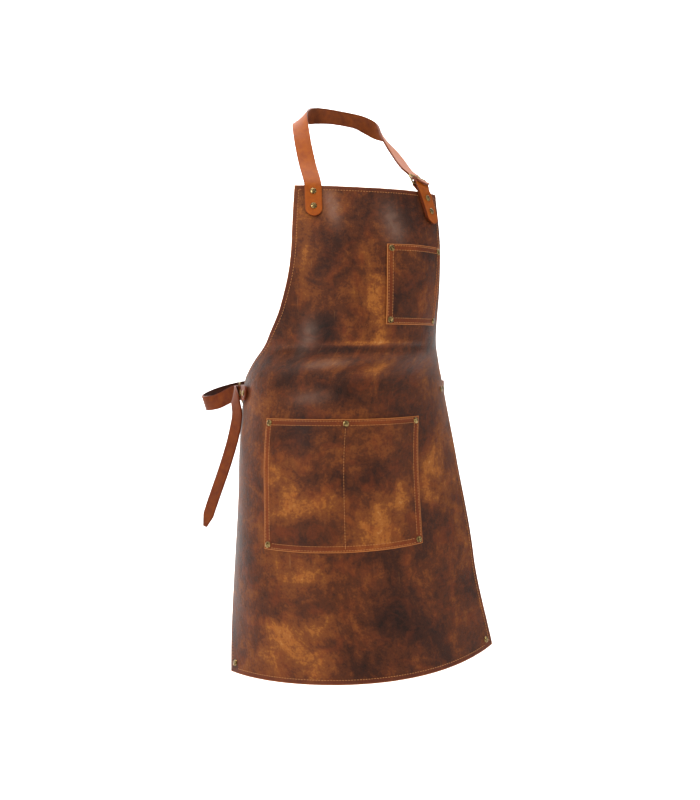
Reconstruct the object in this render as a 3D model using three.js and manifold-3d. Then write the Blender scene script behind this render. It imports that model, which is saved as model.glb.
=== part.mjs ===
// Leather blacksmith apron in its worn form, hung from the nape of the neck
// Millimetres, +Z up, +X towards the wearer's left, the front facing -Y.
// The origin is the inner face of the neck strap where it rests on the nape.
// A place on the hide is told in flat pattern measures: s across from the middle line,
// positive towards the wearer's left, and t down from the top edge of the bib.

import * as THREE from "three";
import { mergeVertices } from "three/addons/utils/BufferGeometryUtils.js";
import Module from "manifold-3d";

const wasm = await Module();
wasm.setup();

const radians = THREE.MathUtils.degToRad;

// Hide
const APRON_LENGTH = 800;
const SKIRT_HALF_WIDTH = 252;
const HIDE_THICKNESS = 2.2;
const NAPE_TO_BIB = 141;
const NAPE_TO_CHEST = 163;
const HEM_LIFT = 31;

// Pockets
const POCKET_THICKNESS = 2;
const POCKET_FULLNESS = 2.4;
const CHEST_POCKET = { middle: 73.5, half: 59, top: 99, depth: 128, bow: 0, lobes: 1 };
const WAIST_POCKET = { middle: 1.5, half: 133, top: 386, depth: 207, bow: 3, lobes: 2 };

// Straps and tabs
const NECK_STRAP_WIDTH = 27;
const WAIST_STRAP_WIDTH = 25;
const STRAP_THICKNESS = 3;
const TAB_THICKNESS = 2.2;
const NECK_STRAP_OFFSET = 102;
const NECK_TAB_OFFSET = 95;
const NECK_TAB_LEAN = 0.3;
const NECK_TAB_SWAY = 2;
const NECK_BUCKLE_SHIFT = 5;
const NECK_OVERLAP = 55;
const NECK_TAB_OVERLAP = 58;
const NECK_SPREAD = 200;
const WAIST_LEVEL = 347;
const WAIST_TAB_LENGTH = 52;
const WAIST_OVERLAP = 44;
const BELT_HALF_WIDTH = 195;
const BELT_DEPTH = 250;
const TAIL_LENGTH = 235;

// Buckles
const BAR = 3.2;
const PITCH = 19;
const WINDOW_PLAY = 2.4;
const PRONG_RADIUS = 1.1;
const BUCKLE_STANDOFF = 4.8;
const NECK_BUCKLE_RISE = 9;
const NECK_BUCKLE_TURN = radians(21);
const NECK_BUCKLE_DIP = radians(13);
const NECK_BUCKLE_LEAN = radians(42);
const WAIST_BUCKLE_REACH = 10;
const WAIST_BUCKLE_TURN = radians(10);
const WAIST_BUCKLE_TILT = radians(8);

// Rivets
const CAP_RADIUS = 5;
const CAP_HEIGHT = 1.7;
const SHANK_RADIUS = 2;
const RIVET_SIDES = 8;
const RIVET_EDGE = 7;
const HEM_RIVET_EDGE = 15;

// Clearances
const LAYER_GAP = 0.5;
const SEAT_GAP = 0.6;
const FOOT_GAP = 1.1;
const METAL_GAP = 0.35;

// Cut of the hide: down as a share of APRON_LENGTH, half as a share of SKIRT_HALF_WIDTH
const CUT = [
  { down: 0, half: 0.52 },
  { down: 0.075, half: 0.54 },
  { down: 0.1625, half: 0.559 },
  { down: 0.25, half: 0.626 },
  { down: 0.3125, half: 0.738 },
  { down: 0.35, half: 0.818 },
  { down: 0.3875, half: 0.871 },
  { down: 0.4125, half: 0.953 },
  { down: 0.43125, half: 0.992 },
  { down: 0.6, half: 1 },
  { down: 0.8, half: 1.013 },
  { down: 1, half: 1 },
];

// Drape by height: right and left are the degrees that the section has turned back at the skirt's
// half width, the rounds say how late it turns, twist turns the whole section, across is a share of
// SKIRT_HALF_WIDTH and forward a share of NAPE_TO_CHEST
const DRAPE = [
  {
    down: 0, right: 57, left: 84, rightRound: 1.8, leftRound: 1.15,
    twist: 2.5, across: 0, forward: 1,
  },
  {
    down: 0.15, right: 72, left: 82, rightRound: 1.5, leftRound: 1.05,
    twist: 2.5, across: -0.025, forward: 1.235,
  },
  {
    down: 0.3125, right: 87, left: 91, rightRound: 1.15, leftRound: 0.85,
    twist: -0.5, across: -0.055, forward: 1.31,
  },
  {
    down: 0.4125, right: 100, left: 75, rightRound: 1.05, leftRound: 1.15,
    twist: -4, across: -0.19, forward: 1.1,
  },
  {
    down: 0.6, right: 103, left: 53, rightRound: 1.1, leftRound: 1.15,
    twist: -4, across: -0.24, forward: 1.14,
  },
  {
    down: 0.8, right: 97, left: 42, rightRound: 1.15, leftRound: 1.3,
    twist: -4, across: -0.235, forward: 1.225,
  },
  {
    down: 1, right: 71, left: 37, rightRound: 1, leftRound: 1.2,
    twist: 0, across: -0.12, forward: 1.42,
  },
];

// Rows of the hide's grid: row as a share of all the rows, down as a share of APRON_LENGTH
const GRID_ROWS = [
  { row: 0, down: 0 },
  { row: 0.24, down: 0.28 },
  { row: 0.52, down: 0.445 },
  { row: 1, down: 1 },
];

// Way of the neck strap from the wearer's right to the left: across is a share of NECK_SPREAD, back a
// share of NAPE_TO_CHEST, up a share of NAPE_TO_BIB, and the inner edge lies towards x, y and z
const NECK_WAY = [
  { across: -0.52, back: -0.81, up: -0.705, x: 0.97, y: -0.22, z: 0.03 },
  { across: -0.525, back: -0.63, up: -0.38, x: 0.95, y: -0.25, z: 0.18 },
  { across: -0.5, back: -0.45, up: -0.145, x: 0.76, y: -0.1, z: 0.64 },
  { across: -0.395, back: -0.24, up: -0.05, x: 0.55, y: 0.1, z: 0.82 },
  { across: -0.195, back: -0.06, up: 0.01, x: 0.15, y: 0.3, z: 0.94 },
  { across: 0, back: 0, up: 0, x: 0, y: 0.3, z: 0.95 },
  { across: 0.1, back: -0.012, up: -0.028, x: -0.1, y: 0.3, z: 0.94 },
  { across: 0.175, back: -0.055, up: -0.085, x: -0.1, y: 0.1, z: 0.95 },
  { across: 0.225, back: -0.125, up: -0.15, x: -0.2, y: 0, z: 0.95 },
  { across: 0.255, back: -0.225, up: -0.215, x: -0.5, y: 0.05, z: 0.85 },
  { across: 0.275, back: -0.36, up: -0.345, x: -0.73, y: 0.02, z: 0.66 },
  { across: 0.32, back: -0.54, up: -0.55, x: -0.87, y: -0.05, z: 0.46 },
  { across: 0.35, back: -0.71, up: -0.72, x: -0.91, y: -0.2, z: 0.36 },
];

// Way of the waist strap round the back from the wearer's left to the right: across is a share of
// BELT_HALF_WIDTH, back a share of BELT_DEPTH from the hide's left edge,
// drop a share of the strap's width, lean how far its lower edge tips towards the wearer's left
const WAIST_WAY = [
  { across: 0.86, back: 0.15, drop: 0, lean: 0 },
  { across: 0.85, back: 0.34, drop: 0, lean: 0 },
  { across: 0.74, back: 0.6, drop: 0, lean: 0 },
  { across: 0.48, back: 0.81, drop: 0, lean: 0 },
  { across: 0.14, back: 0.93, drop: 0, lean: 0 },
  { across: -0.22, back: 0.965, drop: 0, lean: 0 },
  { across: -0.53, back: 0.93, drop: -0.05, lean: 0 },
  { across: -0.79, back: 0.85, drop: 0.1, lean: 0.1 },
  { across: -1.02, back: 0.78, drop: 0.5, lean: 0.25 },
  { across: -1.17, back: 0.67, drop: 0.9, lean: 0.35 },
  { across: -1.21, back: 0.57, drop: 1.1, lean: 0.3 },
  { across: -1.13, back: 0.47, drop: 1, lean: 0.1 },
];

// Wrap of the waist strap round its buckle's outer bar: shares of STRAP_THICKNESS from the bar's middle
const BAR_WRAP = [
  { past: 3.7, out: 8, low: 1.7 },
  { past: 3, out: 3.4, low: 0 },
  { past: 2, out: 1.3, low: 0 },
  { past: 1.6, out: -0.5, low: 0 },
  { past: 0.95, out: -1.35, low: 0 },
];

// Hang of the waist strap's loose end, from the buckle's inner bar: shares of TAIL_LENGTH
const TAIL_WAY = [
  { out: 0.062, fore: 0.055, down: 0.01, x: -0.1, y: 0.3, z: -0.95 },
  { out: 0.066, fore: 0.11, down: 0.055, x: -0.3, y: 0.8, z: -0.5 },
  { out: 0.06, fore: 0.15, down: 0.15, x: -0.45, y: 0.89, z: -0.05 },
  { out: 0.08, fore: 0.145, down: 0.29, x: -0.53, y: 0.85, z: 0 },
  { out: 0.115, fore: 0.13, down: 0.43, x: -0.53, y: 0.85, z: 0 },
  { out: 0.153, fore: 0.11, down: 0.56, x: -0.53, y: 0.85, z: 0 },
  { out: 0.195, fore: 0.09, down: 0.69, x: -0.53, y: 0.85, z: 0 },
  { out: 0.237, fore: 0.072, down: 0.82, x: -0.53, y: 0.85, z: 0 },
  { out: 0.262, fore: 0.068, down: 0.9, x: -0.53, y: 0.85, z: 0 },
  { out: 0.278, fore: 0.064, down: 0.955, x: -0.53, y: 0.85, z: 0 },
];

const hideLeather = new THREE.MeshStandardMaterial({ color: "#6b3a1e", roughness: 0.55, metalness: 0 });
const pocketLeather = new THREE.MeshStandardMaterial({ color: "#76411f", roughness: 0.55, metalness: 0 });
const strapLeather = new THREE.MeshStandardMaterial({ color: "#b5571f", roughness: 0.5, metalness: 0 });
const agedBrass = new THREE.MeshStandardMaterial({ color: "#8c7440", roughness: 0.4, metalness: 1 });

const UP = new THREE.Vector3(0, 0, 1);

// Smooth curve through a table's rows that never overshoots them, straight beyond its ends
function eased(rows, from, to) {
  const x = rows.map((row) => row[from]);
  const y = rows.map((row) => row[to]);
  const rise = x.slice(1).map((end, i) => (y[i + 1] - y[i]) / (end - x[i]));
  const slope = x.map((_, i) => {
    if (i === 0) return rise[0];
    if (i === rise.length) return rise[i - 1];
    if (rise[i - 1] * rise[i] <= 0) return 0;
    return (2 * rise[i - 1] * rise[i]) / (rise[i - 1] + rise[i]);
  });
  return (at) => {
    if (at <= x[0]) return y[0] + slope[0] * (at - x[0]);
    const last = x.length - 1;
    if (at >= x[last]) return y[last] + slope[last] * (at - x[last]);
    const i = x.findIndex((end) => end > at) - 1;
    const h = x[i + 1] - x[i];
    const u = (at - x[i]) / h;
    const v = 1 - u;
    return (
      v * v * (1 + 2 * u) * y[i] +
      u * v * v * h * slope[i] +
      u * u * (3 - 2 * u) * y[i + 1] -
      u * u * v * h * slope[i + 1]
    );
  };
}

const drape = Object.fromEntries(Object.keys(DRAPE[0]).map((key) => [key, eased(DRAPE, "down", key)]));
const cutHalf = eased(CUT, "down", "half");
const gridRow = eased(GRID_ROWS, "row", "down");

const halfWidth = (t) => SKIRT_HALF_WIDTH * cutHalf(t / APRON_LENGTH);
const forward = (t) => NAPE_TO_CHEST * drape.forward(t / APRON_LENGTH);

// Height of the middle line below the bib's top edge, so that its length stays the leather's
const DROP_STEP = 5;
const drops = [0];
for (let t = 0; t < APRON_LENGTH + DROP_STEP; t += DROP_STEP) {
  const lean = forward(t + DROP_STEP) - forward(t);
  drops.push(drops.at(-1) + Math.sqrt(DROP_STEP ** 2 - lean ** 2));
}
function drop(t) {
  const i = Math.min(Math.max(Math.floor(t / DROP_STEP), 0), drops.length - 2);
  return drops[i] + (drops[i + 1] - drops[i]) * (t / DROP_STEP - i);
}

// Point on the hide's front face, found by walking across the section from the middle line
function hidePoint(s, t) {
  const down = t / APRON_LENGTH;
  const right = radians(drape.right(down));
  const left = radians(drape.left(down));
  const rightRound = drape.rightRound(down);
  const leftRound = drape.leftRound(down);
  const twist = radians(drape.twist(down));
  const steps = 24;
  const step = s / steps;
  const middle = SKIRT_HALF_WIDTH * drape.across(down);
  const point = new THREE.Vector3(middle, -forward(t), -NAPE_TO_BIB - drop(t));
  for (let i = 0; i < steps; i += 1) {
    const share = (step * (i + 0.5)) / SKIRT_HALF_WIDTH;
    const turn = share < 0 ? -right * (-share) ** rightRound : left * share ** leftRound;
    point.x += step * Math.cos(turn + twist);
    point.y += step * Math.sin(turn + twist);
  }
  const side = Math.max(s / SKIRT_HALF_WIDTH, 0);
  point.z += HEM_LIFT * side ** 2 * Math.max(down, 0) ** 1.5;
  return point;
}

// Directions on the hide: across towards the wearer's left, up, and out of the front face
function hideAxes(s, t) {
  const across = hidePoint(s + 0.5, t).sub(hidePoint(s - 0.5, t)).normalize();
  const upward = hidePoint(s, t - 0.5).sub(hidePoint(s, t + 0.5)).normalize();
  const out = across.clone().cross(upward).normalize();
  return { across, upward, out };
}

function onHide(s, t, off) {
  return hidePoint(s, t).addScaledVector(hideAxes(s, t).out, off);
}

// Flat blank with a grid, each point put in place: u across from -1 to 1, v along and w through from 0 to 1
function blank(columns, rows, place) {
  const geometry = new THREE.BoxGeometry(2, 1, 1, columns, rows, 1);
  const position = geometry.attributes.position;
  for (let i = 0; i < position.count; i += 1) {
    const point = place(position.getX(i), position.getY(i) + 0.5, position.getZ(i) + 0.5);
    position.setXYZ(i, point.x, point.y, point.z);
  }
  return geometry;
}

function toSolid(geometry) {
  const bare = geometry.clone();
  bare.deleteAttribute("normal");
  bare.deleteAttribute("uv");
  const merged = mergeVertices(bare, 1e-4);
  return new wasm.Manifold(
    new wasm.Mesh({
      numProp: 3,
      vertProperties: new Float32Array(merged.attributes.position.array),
      triVerts: new Uint32Array(merged.index.array),
    }),
  );
}

function toGeometry(solid) {
  const mesh = solid.getMesh();
  const geometry = new THREE.BufferGeometry();
  geometry.setAttribute("position", new THREE.BufferAttribute(mesh.vertProperties, 3));
  geometry.setIndex(new THREE.BufferAttribute(mesh.triVerts, 1));
  geometry.computeVertexNormals();
  return geometry;
}

function cut(geometry, tools) {
  return toGeometry(tools.reduce((solid, tool) => solid.subtract(toSolid(tool)), toSolid(geometry)));
}

const apron = new THREE.Group();

function add(name, geometry, material, matrix) {
  const mesh = new THREE.Mesh(geometry, material);
  mesh.name = name;
  if (matrix) mesh.applyMatrix4(matrix);
  apron.add(mesh);
}

// Rivets: each place gives its pattern point and how far its layers reach from the hide's front face
const WALL_OUTER = LAYER_GAP + POCKET_THICKNESS;
const TAB_OUTER = 2 * (LAYER_GAP + TAB_THICKNESS);
const NECK_OUTER = LAYER_GAP + STRAP_THICKNESS;
const HIDE_INNER = -HIDE_THICKNESS;
const STRAP_INNER = HIDE_INNER - LAYER_GAP - STRAP_THICKNESS;

function pocketEdge(pocket, share) {
  return pocket.top + pocket.depth + pocket.bow * (1 - share ** 2);
}

function pocketRivets(name, pocket) {
  const side = pocket.half - RIVET_EDGE;
  const high = pocket.top + RIVET_EDGE;
  const low = pocket.top + pocket.depth - RIVET_EDGE;
  const places = [
    { end: "top_right", s: pocket.middle - side, t: high },
    { end: "top_left", s: pocket.middle + side, t: high },
    { end: "low_right", s: pocket.middle - side, t: low },
    { end: "low_left", s: pocket.middle + side, t: low },
  ];
  if (pocket.lobes === 2) places.push({ end: "middle", s: pocket.middle, t: high });
  return places.map(({ end, s, t }) => ({ name: `${name}_rivet_${end}`, s, t, outer: WALL_OUTER, on: name }));
}

const tabTop = halfWidth(WAIST_LEVEL);
const hemCorner = halfWidth(APRON_LENGTH) - HEM_RIVET_EDGE;
const hemRow = APRON_LENGTH - HEM_RIVET_EDGE;
const neckTabLine = (t) =>
  NECK_TAB_OFFSET + t * NECK_TAB_LEAN - NECK_TAB_SWAY * Math.max(0, 1 - (2 * t) / NECK_TAB_OVERLAP) ** 2;
const tabRivet = (end, t) => ({
  name: `neck_tab_rivet_${end}`,
  s: neckTabLine(t),
  t,
  outer: TAB_OUTER,
  on: "neck_tab",
});
const waistTabRivet = (end, reach) => ({
  name: `waist_tab_rivet_${end}`,
  s: reach - tabTop,
  t: WAIST_LEVEL,
  outer: TAB_OUTER,
  on: "waist_tab",
});
const waistStrapRivet = (end, reach) => ({
  name: `waist_strap_rivet_${end}`,
  s: tabTop - reach,
  t: WAIST_LEVEL,
  inner: STRAP_INNER,
  on: "waist_strap",
});
const rivetPlaces = [
  { name: "neck_strap_rivet_upper", s: -NECK_STRAP_OFFSET, t: 12, outer: NECK_OUTER, on: "neck_strap" },
  { name: "neck_strap_rivet_lower", s: -NECK_STRAP_OFFSET, t: 38, outer: NECK_OUTER, on: "neck_strap" },
  tabRivet("upper", 13),
  tabRivet("lower", 36),
  waistTabRivet("outer", 20),
  waistTabRivet("inner", 42),
  waistStrapRivet("outer", 11),
  waistStrapRivet("inner", 33),
  ...pocketRivets("chest_pocket", CHEST_POCKET),
  ...pocketRivets("waist_pocket", WAIST_POCKET),
  { name: "hem_rivet_right", s: -hemCorner, t: hemRow, on: "apron_panel" },
  { name: "hem_rivet_left", s: hemCorner, t: hemRow, on: "apron_panel" },
].map((place) => ({ outer: 0, inner: HIDE_INNER, ...place }));

// Turning and place of a rivet, its own length running along the hide's outward direction
function rivetMatrix(place) {
  const { out } = hideAxes(place.s, place.t);
  const turn = new THREE.Quaternion().setFromUnitVectors(new THREE.Vector3(0, 1, 0), out);
  return new THREE.Matrix4().compose(hidePoint(place.s, place.t), turn, new THREE.Vector3(1, 1, 1));
}

// Domed cap on the front, shank through the layers, flat washer head on the inside
function rivetGeometry(place) {
  const seat = place.outer + SEAT_GAP;
  const foot = place.inner - FOOT_GAP;
  const profile = [
    [0, foot - 1.1],
    [CAP_RADIUS * 0.82, foot - 1.1],
    [CAP_RADIUS * 0.9, foot],
    [SHANK_RADIUS, foot],
    [SHANK_RADIUS, seat],
    [CAP_RADIUS, seat],
    [CAP_RADIUS * 0.66, seat + CAP_HEIGHT * 0.8],
    [0, seat + CAP_HEIGHT],
  ];
  return new THREE.LatheGeometry(profile.map(([x, y]) => new THREE.Vector2(x, y)), RIVET_SIDES);
}

function rivetHole(place) {
  const hole = new THREE.CylinderGeometry(SHANK_RADIUS + 0.75, SHANK_RADIUS + 0.75, 30, 6);
  return hole.applyMatrix4(rivetMatrix(place));
}

const holesFor = (name) => rivetPlaces.filter((place) => place.on === name).map(rivetHole);

for (const place of rivetPlaces) add(place.name, rivetGeometry(place), agedBrass, rivetMatrix(place));

// Hide panel, with a hole under every rivet
const panel = blank(28, 34, (u, v, w) => {
  const t = APRON_LENGTH * gridRow(1 - v);
  return onHide(u * halfWidth(t), t, (w - 1) * HIDE_THICKNESS);
});
add("apron_panel", cut(panel, rivetPlaces.map(rivetHole)), hideLeather);

// Patch pockets, a little full between their stitched sides and low edge
function pocketGeometry(pocket, columns, rows) {
  return blank(columns, rows, (u, v, w) => {
    const low = pocketEdge(pocket, u);
    const t = low + (pocket.top - low) * v;
    const across = Math.sin(Math.PI * pocket.lobes * 0.5 * (u + 1)) ** 2;
    const along = Math.sin((Math.PI * Math.min(v, 0.85)) / 1.7);
    return onHide(
      pocket.middle + u * pocket.half,
      t,
      LAYER_GAP + w * POCKET_THICKNESS + POCKET_FULLNESS * across * along,
    );
  });
}
add("chest_pocket", cut(pocketGeometry(CHEST_POCKET, 6, 6), holesFor("chest_pocket")), pocketLeather);
add("waist_pocket", cut(pocketGeometry(WAIST_POCKET, 16, 7), holesFor("waist_pocket")), pocketLeather);

// Band of leather along a way: each stop has a middle point and the direction across the band,
// which is squared to the way, or left as given where a tab runs askew into its buckle
function band(stops, width, thickness, stepsEach, squared, shape) {
  const middle = new THREE.CatmullRomCurve3(stops.map((stop) => stop.point));
  const acrossWay = new THREE.CatmullRomCurve3(stops.map((stop) => stop.across));
  return blank(1, (stops.length - 1) * stepsEach, (u, v, w) => {
    const point = middle.getPoint(v);
    const along = middle.getTangent(v);
    const across = acrossWay.getPoint(v);
    if (squared) across.addScaledVector(along, -across.dot(along));
    across.normalize();
    const out = across.clone().cross(along).normalize();
    const half = 0.5 * width * shape(point, stops);
    return point.addScaledVector(across, u * half).addScaledVector(out, (w - 0.5) * thickness);
  });
}

// Share of the width near an end: a round end over the reach, or a long point
function roundEnd(distance, reach) {
  if (distance >= reach) return 1;
  return Math.max(Math.sqrt(1 - (1 - distance / reach) ** 2), 0.35);
}
const roundFirst = (reach) => (point, stops) => roundEnd(point.distanceTo(stops[0].point), reach);
const roundLast = (reach) => (point, stops) => roundEnd(point.distanceTo(stops.at(-1).point), reach);
const pointedLast = (reach) => (point, stops) =>
  Math.min(1, 0.3 + (0.7 * point.distanceTo(stops.at(-1).point)) / reach);

// Buckles: c across the strap, e from the inner bar to the outer bar, n out of the front
function neckBuckleAxes() {
  const level = new THREE.Vector3(Math.cos(NECK_BUCKLE_TURN), Math.sin(NECK_BUCKLE_TURN), 0);
  const c = level.multiplyScalar(Math.cos(NECK_BUCKLE_DIP)).addScaledVector(UP, -Math.sin(NECK_BUCKLE_DIP));
  const e = new THREE.Vector3(0, Math.sin(NECK_BUCKLE_LEAN), Math.cos(NECK_BUCKLE_LEAN));
  e.addScaledVector(c, -e.dot(c)).normalize();
  const s = neckTabLine(-NECK_BUCKLE_RISE) - NECK_BUCKLE_SHIFT;
  const origin = onHide(s, -NECK_BUCKLE_RISE, BUCKLE_STANDOFF);
  return { origin, c, e, n: c.clone().cross(e), width: NECK_STRAP_WIDTH };
}

function waistBuckleAxes() {
  const s = -tabTop - WAIST_BUCKLE_REACH;
  const { across, out } = hideAxes(s, WAIST_LEVEL);
  const e = across.negate().setZ(0).normalize().applyAxisAngle(UP, WAIST_BUCKLE_TURN);
  const c = UP.clone().multiplyScalar(Math.cos(WAIST_BUCKLE_TILT));
  c.addScaledVector(out, Math.sin(WAIST_BUCKLE_TILT));
  c.addScaledVector(e, -e.dot(c)).normalize();
  const origin = onHide(s, WAIST_LEVEL, BUCKLE_STANDOFF);
  return { origin, c, e, n: c.clone().cross(e), width: WAIST_STRAP_WIDTH };
}

function atBuckle(axes, e, n) {
  return axes.origin.clone().addScaledVector(axes.e, e).addScaledVector(axes.n, n);
}

function roundedFrame(width, height, radius, Kind) {
  const outline = new Kind();
  const x = width / 2 - radius;
  const y = height / 2 - radius;
  outline.absarc(x, y, radius, 0, Math.PI / 2);
  outline.absarc(-x, y, radius, Math.PI / 2, Math.PI);
  outline.absarc(-x, -y, radius, Math.PI, 1.5 * Math.PI);
  outline.absarc(x, -y, radius, 1.5 * Math.PI, 2 * Math.PI);
  return outline;
}

const buckleMatrix = (axes) => new THREE.Matrix4().makeBasis(axes.c, axes.e, axes.n).setPosition(axes.origin);

function frameGeometry(axes) {
  const inner = axes.width + 2 * WINDOW_PLAY;
  const outline = roundedFrame(inner + 2 * BAR, PITCH + BAR, BAR, THREE.Shape);
  outline.holes.push(roundedFrame(inner, PITCH - BAR, BAR / 3, THREE.Path));
  const geometry = new THREE.ExtrudeGeometry(outline, { depth: BAR, bevelEnabled: false, curveSegments: 2 });
  return geometry.translate(0, PITCH / 2, -BAR / 2);
}

// Prong hooked round the inner bar, its tip on the outer bar
const HOOK = BAR * 0.71 + METAL_GAP + PRONG_RADIUS;
const TIP_LIFT = BAR / 2 + METAL_GAP + PRONG_RADIUS;
function prongGeometry() {
  const way = [
    [HOOK * 0.55, -HOOK * 0.9],
    [-HOOK * 0.55, -HOOK * 0.9],
    [-HOOK, 0],
    [-HOOK * 0.5, HOOK * 0.88],
    [HOOK * 0.5, HOOK * 1.02],
    [PITCH * 0.5, HOOK * 0.98],
    [PITCH, TIP_LIFT + 0.1],
    [PITCH + BAR * 0.8, TIP_LIFT],
  ];
  const path = new THREE.CatmullRomCurve3(way.map(([e, n]) => new THREE.Vector3(0, e, n)));
  const section = new THREE.Shape().absarc(0, 0, PRONG_RADIUS, 0, 2 * Math.PI);
  return new THREE.ExtrudeGeometry(section, { steps: 16, extrudePath: path, curveSegments: 3 });
}

// Oblong slot for the prong, from one e to another e and as far as n on both sides of the bar
function prongSlot(axes, fromE, toE, fromN, toN) {
  const slot = new THREE.BoxGeometry(2 * (PRONG_RADIUS + METAL_GAP), toE - fromE, toN - fromN);
  slot.translate(0, (fromE + toE) / 2, (fromN + toN) / 2);
  return slot.applyMatrix4(buckleMatrix(axes));
}
const strapSlot = (axes) => prongSlot(axes, 0.2 * PITCH, 0.7 * PITCH, 0, 2.1 * HOOK);
const tabSlot = (axes) => prongSlot(axes, -1.5 * HOOK, 1.7 * HOOK, -1.8 * HOOK, 1.8 * HOOK);

// Stops of a strap through its buckle: inside the outer bar, over the inner bar and its tab
const FOLD = BAR * 0.71 + 2.3 * METAL_GAP + TAB_THICKNESS / 2;
const UNDER_BAR = -(BAR / 2 + 2 * METAL_GAP + STRAP_THICKNESS / 2);
const OVER_TAB = FOLD + TAB_THICKNESS / 2 + LAYER_GAP + STRAP_THICKNESS / 2 + 2 * METAL_GAP;
function throughBuckle(axes) {
  const across = axes.c.clone().negate();
  return [
    { point: atBuckle(axes, PITCH, UNDER_BAR), across },
    { point: atBuckle(axes, PITCH * 0.7, UNDER_BAR * 0.5), across },
    { point: atBuckle(axes, PITCH * 0.38, OVER_TAB * 0.6), across },
    { point: atBuckle(axes, 0, OVER_TAB), across },
  ];
}

// Tab folded round the inner bar: front leaf, fold turned to meet the leaves, and back leaf against the hide
function tabStops(axes, leaf, turn, frontStops, backStops) {
  const front = LAYER_GAP + TAB_THICKNESS + LAYER_GAP + TAB_THICKNESS / 2;
  const back = LAYER_GAP + TAB_THICKNESS / 2;
  const fold = [104, 52, 0, -52, -104].map((degrees) => {
    const angle = turn + radians(degrees);
    return { point: atBuckle(axes, FOLD * Math.cos(angle), FOLD * Math.sin(angle)), across: axes.c };
  });
  return [
    ...frontStops.map((reach) => leaf(reach, front)),
    ...fold,
    ...backStops.map((reach) => leaf(reach, back)),
  ];
}

const neckAxes = neckBuckleAxes();
const waistAxes = waistBuckleAxes();

function neckLeaf(reach, off) {
  const s = neckTabLine(reach);
  return { point: onHide(s, reach, off), across: hideAxes(s, reach).across };
}

function waistLeaf(reach, off) {
  const s = reach - tabTop;
  return { point: onHide(s, WAIST_LEVEL, off), across: hideAxes(s, WAIST_LEVEL).upward };
}

const neckTab = band(
  tabStops(neckAxes, neckLeaf, radians(30), [NECK_TAB_OVERLAP, 50, 35, 20, 7], [0, 5, 20, 36, NECK_TAB_OVERLAP - 3]),
  NECK_STRAP_WIDTH,
  TAB_THICKNESS,
  2,
  false,
  roundFirst(NECK_STRAP_WIDTH / 2),
);
const waistTab = band(
  tabStops(waistAxes, waistLeaf, 0, [WAIST_TAB_LENGTH, 46, 32, 17, 5], [0, 5, 18, 33, WAIST_TAB_LENGTH - 3]),
  WAIST_STRAP_WIDTH,
  TAB_THICKNESS,
  2,
  false,
  roundFirst(WAIST_STRAP_WIDTH / 2),
);

// Neck strap, from its rivets on the bib over the nape to the buckle
const NECK_STRAP_OFF = LAYER_GAP + STRAP_THICKNESS / 2;
const neckStrapStops = [
  ...[NECK_OVERLAP, 46, 34, 22, 10, 0].map((t) => ({
    point: onHide(-NECK_STRAP_OFFSET, t, NECK_STRAP_OFF),
    across: hideAxes(-NECK_STRAP_OFFSET, t).across,
  })),
  ...NECK_WAY.map((row) => ({
    point: new THREE.Vector3(
      row.across * NECK_SPREAD,
      row.back * NAPE_TO_CHEST + STRAP_THICKNESS / 2,
      row.up * NAPE_TO_BIB,
    ),
    across: new THREE.Vector3(row.x, row.y, row.z).normalize(),
  })),
  { point: atBuckle(neckAxes, PITCH + 9, 1.3 * UNDER_BAR), across: neckAxes.c.clone().negate() },
  ...throughBuckle(neckAxes),
  { point: atBuckle(neckAxes, -5, OVER_TAB + 1), across: neckAxes.c.clone().negate() },
];
const neckStrap = band(neckStrapStops, NECK_STRAP_WIDTH, STRAP_THICKNESS, 3, true, (point, stops) =>
  Math.min(roundFirst(NECK_STRAP_WIDTH / 2)(point, stops), roundLast(NECK_STRAP_WIDTH / 3)(point, stops)),
);

// Waist strap, from its rivets inside the hide's left edge round the back, through the buckle, then hanging
const WAIST_STRAP_OFF = HIDE_INNER - LAYER_GAP - STRAP_THICKNESS / 2;
const beltEnd = onHide(tabTop, WAIST_LEVEL, WAIST_STRAP_OFF);
const waistStrapStops = [
  ...[-WAIST_OVERLAP, -33, -22, -11, 0].map((reach) => ({
    point: onHide(tabTop + reach, WAIST_LEVEL, WAIST_STRAP_OFF),
    across: hideAxes(tabTop + reach, WAIST_LEVEL).upward.negate(),
  })),
  ...WAIST_WAY.map((row) => ({
    point: new THREE.Vector3(
      row.across * BELT_HALF_WIDTH,
      beltEnd.y + row.back * BELT_DEPTH,
      beltEnd.z - row.drop * WAIST_STRAP_WIDTH,
    ),
    across: new THREE.Vector3(row.lean, 0, -1).normalize(),
  })),
  ...BAR_WRAP.map((row) => ({
    point: atBuckle(waistAxes, PITCH + row.past * STRAP_THICKNESS, row.out * STRAP_THICKNESS).addScaledVector(
      waistAxes.c,
      -row.low * STRAP_THICKNESS,
    ),
    across: waistAxes.c.clone().negate(),
  })),
  ...throughBuckle(waistAxes),
  ...TAIL_WAY.map((row) => ({
    point: waistAxes.origin
      .clone()
      .add(new THREE.Vector3(-row.out, -row.fore, -row.down).multiplyScalar(TAIL_LENGTH)),
    across: new THREE.Vector3(row.x, row.y, row.z).normalize(),
  })),
];
const waistStrap = band(
  waistStrapStops,
  WAIST_STRAP_WIDTH,
  STRAP_THICKNESS,
  3,
  true,
  pointedLast(WAIST_STRAP_WIDTH * 0.8),
);

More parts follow.
